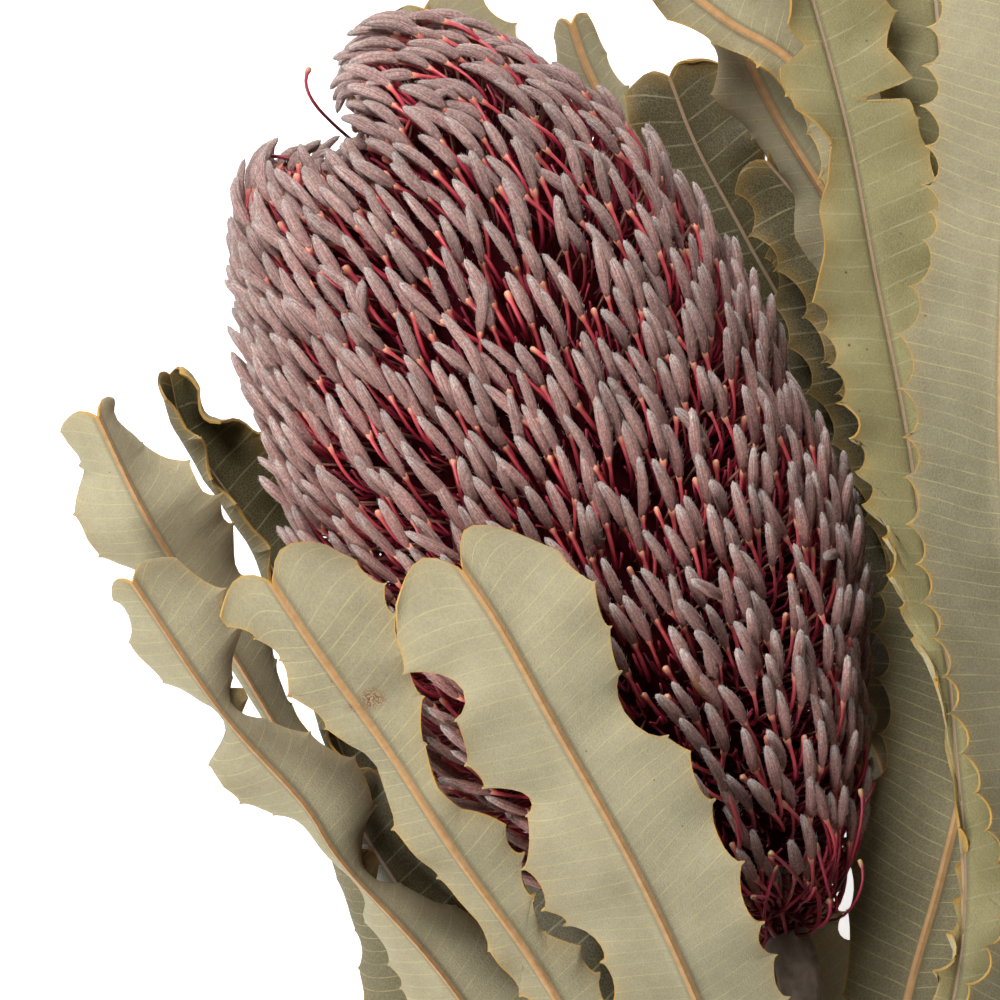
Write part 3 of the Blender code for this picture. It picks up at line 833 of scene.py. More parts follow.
@dataclass
class LooseStyles:
    """Long styles that came free: loops tangled round the spike's foot, a few at its tip, and one stray.

    Sizes are in millimetres. A range is the least and the most of an even draw.
    """

    surface: SpikeSurface
    draw: np.random.Generator
    steps: int = 13
    foot_count: int = 60
    foot_end_range: tuple = (4.0, 19.0)
    foot_depth_range: tuple = (-0.8, 3.0)
    foot_root_range: tuple = (0.5, 7.0)
    foot_root_depth: float = 2.5
    foot_root_turn: float = 0.5
    out_range: tuple = (0.0, 2.6)
    back_range: tuple = (0.5, 7.0)
    aside_stray: float = 2.5
    end_back: float = 0.7
    root_out: float = 0.55
    root_back: float = 1.3
    root_aside: float = 1.4
    tip_count: int = 22
    tip_end_range: tuple = (9.0, 24.0)
    tip_depth_range: tuple = (0.2, 2.5)
    tip_root_range: tuple = (2.0, 12.0)
    tip_root_turn: float = 0.3
    tip_root_depth: float = 6.0
    tip_aim: float = 12.0
    rise_range: tuple = (0.5, 2.5)
    end_ahead: float = 2.0
    root_rise: float = 1.2
    root_ahead: float = 2.5
    stray: tuple = ((60.5, 11.4, 52.0), (58.0, 14.2, 54.0), (50.0, 9.5, 44.0))
    width_range: tuple = (0.62, 0.9)

    def bowed(self, start: np.ndarray, first: np.ndarray, second: np.ndarray, end: np.ndarray) -> np.ndarray:
        """Points along many cubic curves.

        Args:
            start: Where each curve starts.
            first: Its first handle.
            second: Its second handle.
            end: Where it ends.

        Returns:
            The points of every curve.
        """
        steps = np.linspace(0.0, 1.0, self.steps + 1)[None, :, None]
        rest = 1.0 - steps
        return (rest ** 3 * start[:, None] + 3 * rest ** 2 * steps * first[:, None]
                + 3 * rest * steps ** 2 * second[:, None] + steps ** 3 * end[:, None])

    def foot_tangle(self) -> tuple[np.ndarray, np.ndarray]:
        """Loops that hang back from the spike's foot.

        Returns:
            Their points and the ways across them.
        """
        count, draw = self.foot_count, self.draw
        turn = draw.uniform(0.0, 2 * math.pi, count)
        ends = self.surface.place(draw.uniform(*self.foot_end_range, count), turn,
                                  draw.uniform(*self.foot_depth_range, count))
        tangent = self.surface.axis.tangent(np.zeros(count))
        side, up = side_and_up(tangent)
        spoke = np.cos(turn)[:, None] * side + np.sin(turn)[:, None] * up
        across = np.cross(spoke, tangent)
        root_turn = turn + draw.normal(0.0, self.foot_root_turn, count)
        roots = self.surface.place(draw.uniform(*self.foot_root_range, count), root_turn,
                                   self.foot_root_depth)
        out = draw.uniform(*self.out_range, count)[:, None]
        back = draw.uniform(*self.back_range, count)[:, None]
        aside = draw.normal(0.0, self.aside_stray, count)[:, None]
        first = ends + out * spoke - self.end_back * back * tangent + aside * across
        second = (roots + self.root_out * out * spoke - self.root_back * back * tangent
                  + self.root_aside * aside * across)
        return self.bowed(ends, first, second, roots), across

    def tip_tangle(self) -> tuple[np.ndarray, np.ndarray]:
        """Loops that stand up near the spike's tip.

        Returns:
            Their points and the ways across them.
        """
        count, draw = self.tip_count, self.draw
        turn = draw.uniform(0.0, 2 * math.pi, count)
        reach = self.surface.profile.length
        ends = self.surface.place(reach - draw.uniform(*self.tip_end_range, count), turn,
                                  draw.uniform(*self.tip_depth_range, count))
        roots = self.surface.place(reach - draw.uniform(*self.tip_root_range, count),
                                   turn + self.tip_root_turn, self.tip_root_depth)
        ahead, outward, across = self.surface.directions(reach - np.full(count, self.tip_aim), turn)
        rise = draw.uniform(*self.rise_range, count)[:, None]
        first = ends + rise * outward + self.end_ahead * ahead
        second = (ends + roots) / 2 + self.root_rise * rise * outward + self.root_ahead * ahead
        return self.bowed(ends, first, second, roots), across

    def paths(self) -> Paths:
        """Gather both tangles and the stray style.

        Returns:
            One route for each style.
        """
        foot, foot_across = self.foot_tangle()
        tip, tip_across = self.tip_tangle()
        end, bow, root = (np.array([point]) for point in self.stray)
        stray = self.bowed(end, bow, (bow + root) / 2, root)
        route = np.concatenate([foot, tip, stray])
        across = np.concatenate([foot_across, tip_across, np.array([[0.0, 1.0, 0.0]])])
        return Paths(route, across, self.draw.uniform(*self.width_range, len(route)))


@dataclass
class FlowerSpike:
    """The flower spike: pairs of felted florets with bowed styles over a dark core.

    Sizes are in millimetres and angles in degrees. A range is the least and the most of an even draw, and a
    spread is the mean and the deviation of a normal one.
    """

    form: SpikeForm = field(default_factory=SpikeForm)
    surface: SpikeSurface = field(init=False)
    draw: np.random.Generator = field(init=False)
    pairs: int = 840
    pair_gap: float = 2.3
    pair_gap_range: tuple = (0.75, 1.2)
    pair_slip: float = 0.75
    place_stray: float = 0.55
    turn_stray: float = 0.45
    bare_radius: float = 4.5
    bare_share: float = 0.19
    tip_zone: float = 60.0
    tip_cover: float = 0.8
    least_room: float = 0.66
    room_radius: float = 60.0
    rise_spread: tuple = (15.0, 6.0)
    foot_rise: float = 11.0
    foot_parallel: float = 0.85
    parallel_reach: float = 58.0
    aside_spread: tuple = (0.0, 8.0)
    wild_share: float = 0.03
    wild_factor: float = 5.0
    limb_depth: float = 2.4
    limb_depth_stray: float = 0.4
    limb_length: float = 7.3
    limb_length_range: tuple = (0.86, 1.1)
    limb_half_width: float = LIMB_HALF_WIDTH
    limb_width_range: tuple = (0.86, 1.14)
    limb_steps: int = 8
    limb_bow: float = 1.3
    hook_spread: tuple = (-0.1, 0.5)
    tip_hook: float = 2.2
    tip_hook_start: float = 34.0
    tip_hook_blend: float = 14.0
    shortening: float = 0.1
    shortening_start: float = 5.0
    shortening_blend: float = 40.0
    sway_spread: tuple = (0.65, 0.45)
    hairs_each: int = 47
    hair_heights: tuple = (1.6, 1.1)
    hair_root_share: float = 0.86
    limb_flatness: float = 0.8
    hair_lift: float = 0.62
    hair_forward: float = 0.8
    hair_twist: float = 0.3
    hair_length_range: tuple = (0.3, 0.62)
    hair_foot: float = 0.034
    hair_end: float = 0.012
    hair_stray: float = 0.2
    style_length: float = 16.5
    style_length_range: tuple = (0.85, 1.1)
    style_radius: float = 0.29
    style_width_range: tuple = (0.85, 1.15)
    style_steps: int = 16
    style_start: float = 0.5
    style_first_spread: tuple = (0.0, 8.0)
    style_last_spread: tuple = (112.0, 20.0)
    style_aside_spread: tuple = (0.0, 10.0)
    style_bend_share: float = 0.62
    tube_start: float = 0.4
    tube_length: float = 10.5
    tube_slope: float = 2.0
    tube_sag: float = 0.6
    tube_stray: float = 0.8
    tube_width_range: tuple = (0.7, 1.2)
    core_depth: float = 9.5
    core_start: float = 0.02
    core_reach: float = 0.93
    core_foot_share: float = 0.42
    core_tip_share: float = 0.34
    core_rings: int = 48
    core_segments: int = 64

    def scatter(self) -> None:
        """Choose the place and the tint of every floret, and which of them lost their limbs."""
        self.surface = SpikeSurface(self.form)
        self.draw = np.random.default_rng(SEED)
        distance, turn = self.surface.spread(self.pairs)
        out = self.surface.profile.at(distance)[:, 1]
        keep = out > self.bare_radius
        distance, turn, out = distance[keep], turn[keep], out[keep]
        count = len(distance)
        distance = distance + self.draw.normal(0.0, self.place_stray, count)
        turn = turn + self.draw.normal(0.0, self.turn_stray, count) / out
        half_gap = self.pair_gap / 2 * self.draw.uniform(*self.pair_gap_range, count) / out
        shift = self.draw.normal(0.0, self.pair_slip, count)
        self.distance = np.concatenate([distance + shift, distance - shift])
        self.turn = np.concatenate([turn + half_gap, turn - half_gap])
        total = len(self.distance)
        self.tint = self.draw.uniform(0.0, 1.0, total)
        near_tip = smoothstep((self.distance - self.tip_zone) / self.tip_zone)
        bare_share = self.bare_share * (1.0 - self.tip_cover * near_tip)
        self.covered = self.draw.uniform(0.0, 1.0, total) >= bare_share
        out = self.surface.profile.at(self.distance)[:, 1]
        self.room = np.clip(self.least_room + out / self.room_radius, 0.0, 1.0)

    def lean(self) -> None:
        """Turn each floret's frame: outward, astray to either side, and along the axis near the foot."""
        ahead, outward, _ = self.surface.directions(self.distance, self.turn)
        total = len(self.distance)
        near_foot = self.foot_parallel * (1.0 - smoothstep(self.distance / self.parallel_reach))[:, None]
        rise = np.radians(self.draw.normal(*self.rise_spread, total))[:, None]
        rise = rise + np.radians(self.foot_rise) * near_foot
        stray = np.radians(self.draw.normal(*self.aside_spread, total))[:, None]
        wild = (self.draw.uniform(0.0, 1.0, total) < self.wild_share)[:, None]
        stray = np.where(wild, stray * self.wild_factor, stray)
        along_axis = self.surface.axis.tangent(self.surface.profile.at(self.distance)[:, 0])
        ahead = unit(ahead * (1.0 - near_foot) + along_axis * near_foot)
        across = unit(np.cross(outward, ahead))
        outward = np.cross(ahead, across)
        forward = np.cos(stray) * ahead + np.sin(stray) * across
        self.across = np.cos(stray) * across - np.sin(stray) * ahead
        self.limb_axis = np.cos(rise) * forward + np.sin(rise) * outward
        self.limb_out = np.cos(rise) * outward - np.sin(rise) * forward
        self.outward = outward
        depth = self.limb_depth + self.draw.normal(0.0, self.limb_depth_stray, total)
        self.foot = self.surface.place(self.distance, self.turn, depth)

    def limb_paths(self) -> Paths:
        """Draw the routes of the limbs: from the foot to the tip, hooked a little outward or inward.

        Returns:
            One route for each limb.
        """
        covered = self.covered
        count = int(covered.sum())
        foot, out = self.foot[covered], self.limb_out[covered]
        length = self.limb_length * self.room[covered] * self.draw.uniform(*self.limb_length_range, count)
        near_tip = smoothstep((foot[:, 0] - self.tip_hook_start) / self.tip_hook_blend)
        shortened = self.shortening * smoothstep((foot[:, 0] - self.shortening_start) / self.shortening_blend)
        length = length * (1.0 - shortened)
        hook = self.draw.normal(*self.hook_spread, count) + self.tip_hook * near_tip
        sway = self.draw.normal(*self.sway_spread, count)
        steps = np.linspace(0.0, 1.0, self.limb_steps + 1)[None, :, None]
        route = foot[:, None] + steps * (length[:, None] * self.limb_axis[covered])[:, None]
        route = route + (steps - steps ** 2) * self.limb_bow * out[:, None]
        route = route - (steps ** 2) * (hook[:, None] * out)[:, None]
        route = route + (steps ** 2) * (sway[:, None] * self.across[covered])[:, None]
        width = self.draw.uniform(*self.limb_width_range, count) * np.sqrt(self.room[covered])
        return Paths(route, self.across[covered], width)

    def hair_paths(self, limbs: Paths) -> tuple[Paths, np.ndarray]:
        """Draw the routes of single hairs over the limbs, lying half forward.

        Args:
            limbs: Routes of the limbs.

        Returns:
            Routes of the hairs and the tint of each.
        """
        routes = []
        sides = []
        for _ in range(self.hairs_each):
            # More hairs toward the tip, rooted a little inside a surface that swells like the limb's
            height = float(self.draw.beta(*self.hair_heights))
            centre, across, outward = limbs.frames(height)
            angle = self.draw.uniform(0.0, 2 * math.pi, len(centre))[:, None]
            swell = self.limb_half_width * math.sin(math.pi * (0.28 + 0.68 * height)) ** 0.75
            normal = np.cos(angle) * across + np.sin(angle) * outward
            flattened = np.cos(angle) * across + self.limb_flatness * np.sin(angle) * outward
            root = centre + self.hair_root_share * swell * limbs.width[:, None] * flattened
            forward = np.cross(across, outward)
            length = self.draw.uniform(*self.hair_length_range, len(centre))[:, None]
            scatter = self.draw.normal(0.0, self.hair_stray, (len(centre), 3))
            tip = root + length * unit(self.hair_lift * normal + self.hair_forward * forward + scatter)
            routes.append(np.stack([root, (root + tip) / 2, tip], axis=1))
            sides.append(across)
        route = np.concatenate(routes)
        tint = self.draw.uniform(0.0, 1.0, len(route))
        turned = np.concatenate(sides) + self.hair_twist * self.draw.normal(0.0, 1.0, route[:, 0].shape)
        return Paths(route, turned, np.full(len(route), 1.0)), tint

    def style_paths(self) -> Paths:
        """Draw the routes of the styles: out of the limb's foot, back along the spike, then hooked inward.

        Returns:
            One route for each floret.
        """
        total = len(self.foot)
        steps = self.style_steps
        length = self.style_length * self.draw.uniform(*self.style_length_range, total)
        first = np.radians(self.draw.normal(*self.style_first_spread, total))
        last = np.radians(self.draw.normal(*self.style_last_spread, total))
        aside = np.radians(self.draw.normal(*self.style_aside_spread, total))
        back = -self.limb_axis * np.cos(aside)[:, None] + self.across * np.sin(aside)[:, None]
        route = np.zeros((total, steps + 1, 3))
        route[:, 0] = self.foot + self.style_start * self.limb_axis
        for step in range(steps):
            share = min(step / (self.style_bend_share * steps), 1.0)
            bend = (first + (last - first) * share ** 2.0)[:, None]
            heading = np.cos(bend) * back - np.sin(bend) * self.limb_out
            route[:, step + 1] = route[:, step] + heading * (length / steps)[:, None]
        return Paths(route, self.across, self.draw.uniform(*self.style_width_range, total))

    def tube_paths(self) -> Paths:
        """Draw the routes of the dry perianth tubes: from each limb's foot straight down into the core.

        Returns:
            One route for each limb.
        """
        covered = self.covered
        axis = self.limb_axis[covered]
        top = self.foot[covered] + self.tube_start * axis
        lean = self.draw.normal(0.0, self.tube_stray, (len(top), 3))
        bottom = top - self.tube_length * self.outward[covered] - self.tube_slope * axis + lean
        middle = (top + bottom) / 2 - self.tube_sag * axis
        route = np.stack([top, middle, bottom], axis=1)
        return Paths(route, self.across[covered], self.draw.uniform(*self.tube_width_range, len(top)))

    def core(self) -> bpy.types.Object:
        """Model the rachis and the tangle behind the styles from a sphere, as one turned surface: dark
        crimson-brown, darkened to near-black as painted shade of the depths.

        Returns:
            The dressed core.
        """
        deselect_all()
        bpy.ops.mesh.primitive_uv_sphere_add(segments=self.core_segments, ring_count=self.core_rings,
                                             radius=1.0)
        piece = bpy.context.object
        piece.name = "spike_core"
        points = np.array([tuple(vertex.co) for vertex in piece.data.vertices])
        height = np.arccos(np.clip(-points[:, 2], -1, 1)) / math.pi
        turn = np.arctan2(points[:, 1], points[:, 0])
        distance = self.surface.profile.length * (self.core_start + self.core_reach * height)
        flat = self.surface.profile.at(distance)[:, 1]
        depth = np.minimum(self.core_depth, flat * (self.core_foot_share + self.core_tip_share * height ** 2))
        placed = self.surface.place(distance, turn, depth)
        # Each pole moves to the middle of its nearest ring, so that both ends close flat
        for end in (-1.0, 1.0):
            pole = np.isclose(points[:, 2], end)
            ring = np.isclose(points[:, 2], end * math.cos(math.pi / self.core_rings), atol=1e-4)
            placed[pole] = placed[ring].mean(axis=0)
        piece.data.vertices.foreach_set("co", (placed * MM).ravel())
        piece.data.update()
        bpy.ops.object.shade_smooth()
        piece.data.materials.clear()
        # Painted shade: near-black crimson, the rachis's own dark colour deepened for the shade between the
        # florets
        finish = PlainDry("spike core crimson brown with painted shade", "4A0E16", "22060A", 0.7, roughness=1.0, specular=0.05)
        piece.data.materials.append(finish.build())
        return piece

    def limbs_and_hairs(self) -> None:
        """Model the felted limbs, and their hairs in three pieces so that none grows too large."""
        limbs = self.limb_paths()
        wide = self.limb_half_width
        rings = ((0.0, 0.4, 0.38), (0.05, 0.62, 0.55), (0.18, 0.86, 0.74), (0.4, 1.0, 0.84),
                 (0.62, 0.95, 0.8), (0.8, 0.76, 0.66), (0.93, 0.48, 0.44), (1.0, 0.22, 0.2))
        form = Prototype.turned(6, scaled(rings, wide), tip=True)
        piece = stamp("floret_limbs", form, limbs, FloretFelt().build(), self.tint[self.covered])
        finish_piece(piece, (SPIKE_NODE,))
        hairs, tint = self.hair_paths(limbs)
        rings = ((0.0, self.hair_foot, self.hair_foot), (1.0, self.hair_end, self.hair_end))
        form = Prototype.turned(3, rings, tip=True)
        coat = HairFinish().build()
        third = len(tint) // 3
        for number in range(3):
            part = slice(number * third, (number + 1) * third)
            chosen = Paths(hairs.points[part], hairs.across[part], hairs.width[part])
            finish_piece(stamp(f"floret_hairs_{number}", form, chosen, coat, tint[part]))

    def styles(self) -> None:
        """Model the styles: with a pale collar under a limb, or a clubbed end where the limb is lost."""
        thin = self.style_radius
        stalk = ((0.12, 1.0, 1.0), (0.2, 1.0, 1.0), (0.28, 1.0, 1.0), (0.36, 0.95, 0.95), (0.44, 0.95, 0.95),
                 (0.52, 0.9, 0.9), (0.6, 0.9, 0.9), (0.7, 0.85, 0.85), (1.0, 0.75, 0.75))
        collar = ((0.0, 1.8, 1.6), (0.045, 1.7, 1.6), (0.07, 1.2, 1.2))
        club = ((0.0, 0.7, 0.7), (0.015, 1.5, 1.5), (0.06, 1.5, 1.5), (0.1, 1.1, 1.1))
        skin = StyleSkin().build()
        collared = Prototype.turned(4, scaled(collar + stalk, thin), tip=False)
        clubbed = Prototype.turned(5, scaled(club + stalk, thin), tip=False)
        paths = self.style_paths()
        kinds = (("floret_styles", collared, self.covered), ("freed_styles", clubbed, ~self.covered))
        for name, form, chosen in kinds:
            routes = Paths(paths.points[chosen], paths.across[chosen], paths.width[chosen])
            finish_piece(stamp(name, form, routes, skin, self.tint[chosen]))

    def depths(self) -> None:
        """Model what fills the dark: the perianth tubes and the styles deeper in."""
        form = Prototype.turned(3, ((0.0, 0.28, 0.24), (0.5, 0.2, 0.18), (1.0, 0.16, 0.16)), tip=False)
        straw = PlainDry("perianth tube straw", "96624E", "5A2A22", 0.8).build()
        piece = stamp("perianth_tubes", form, self.tube_paths(), straw, self.tint[self.covered])
        finish_piece(piece)
        form = Prototype.turned(3, ((0.0, 0.2, 0.2), (0.4, 0.2, 0.2), (1.0, 0.17, 0.17)), tip=False)
        crimson = PlainDry("inner style crimson", "B8384E", "701A28", 0.9, roughness=0.5).build()
        paths = InnerStyles(self.surface, self.draw).paths()
        tint = self.draw.uniform(0.0, 1.0, len(paths.points))
        finish_piece(stamp("inner_styles", form, paths, crimson, tint))

    def loops(self) -> None:
        """Model the loose styles, each with a clubbed end."""
        club = ((0.0, 0.6, 0.6), (0.01, 1.5, 1.5), (0.05, 1.7, 1.7), (0.09, 1.1, 1.1))
        heights = (0.18, 0.27, 0.36, 0.45, 0.54, 0.63, 0.72, 0.81, 0.9, 1.0)
        stalk = tuple((height, 0.95, 0.95) for height in heights)
        paths = LooseStyles(self.surface, self.draw).paths()
        form = Prototype.turned(5, scaled(club + stalk, self.style_radius), tip=False)
        tint = self.draw.uniform(0.0, 1.0, len(paths.points))
        skin = StyleSkin(collar="DCC080", outer="B8485A").build()
        finish_piece(stamp("loose_styles", form, paths, skin, tint))

    def build(self) -> None:
        """Model and dress every piece of the spike."""
        self.scatter()
        self.lean()
        self.limbs_and_hairs()
        self.styles()
        self.depths()
        self.loops()
        finish_piece(self.core())


@dataclass(frozen=True)
class LeafForm:
    """One leaf: its foot on the stem, its midrib to the tip, its blade and the way that it turns.

    Where dryness has curled a leaf, curls gives millimetres back from the tip with the angle in degrees
    that the left and the right half of the blade turn by there, positive for down. A tear is millimetres
    back from the tip, the hand (1 left, -1 right), its depth and its width. Where a margin shows well,
    left or right gives its teeth from the tip back: millimetres from the tip, millimetres from the midrib,
    and how far the margin hollows in past that tooth. Lobe is how far the blade's end stands past the
    midrib on either side of its notch. Rib is the midrib's half width in millimetres.
    """

    node: str
    foot_x: float
    foot_angle: float
    midrib: tuple
    half_width: float
    rolls: tuple
    fold: float = 6.0
    wave: float = 1.0
    # How far the blade turns toward its shade colour: partly the leaf's own darker tone, partly painted shade
    # where it lies in shadow
    tone: float = 0.0
    pitch: float = 6.1
    taper_end: float = 44.0
    curls: tuple = ((0.0, 0.0, 0.0),)
    tears: tuple = ()
    looks_up: Face = Face.UNDERSIDE
    left: tuple = ()
    right: tuple = ()
    lobe: float = 0.8
    notch: float = 0.9
    stains: tuple = ()
    # Painted shade added toward the leaf's foot, where its lower part lies in shadow
    painted_foot_shade: float = 0.0
    rib: float = 0.5


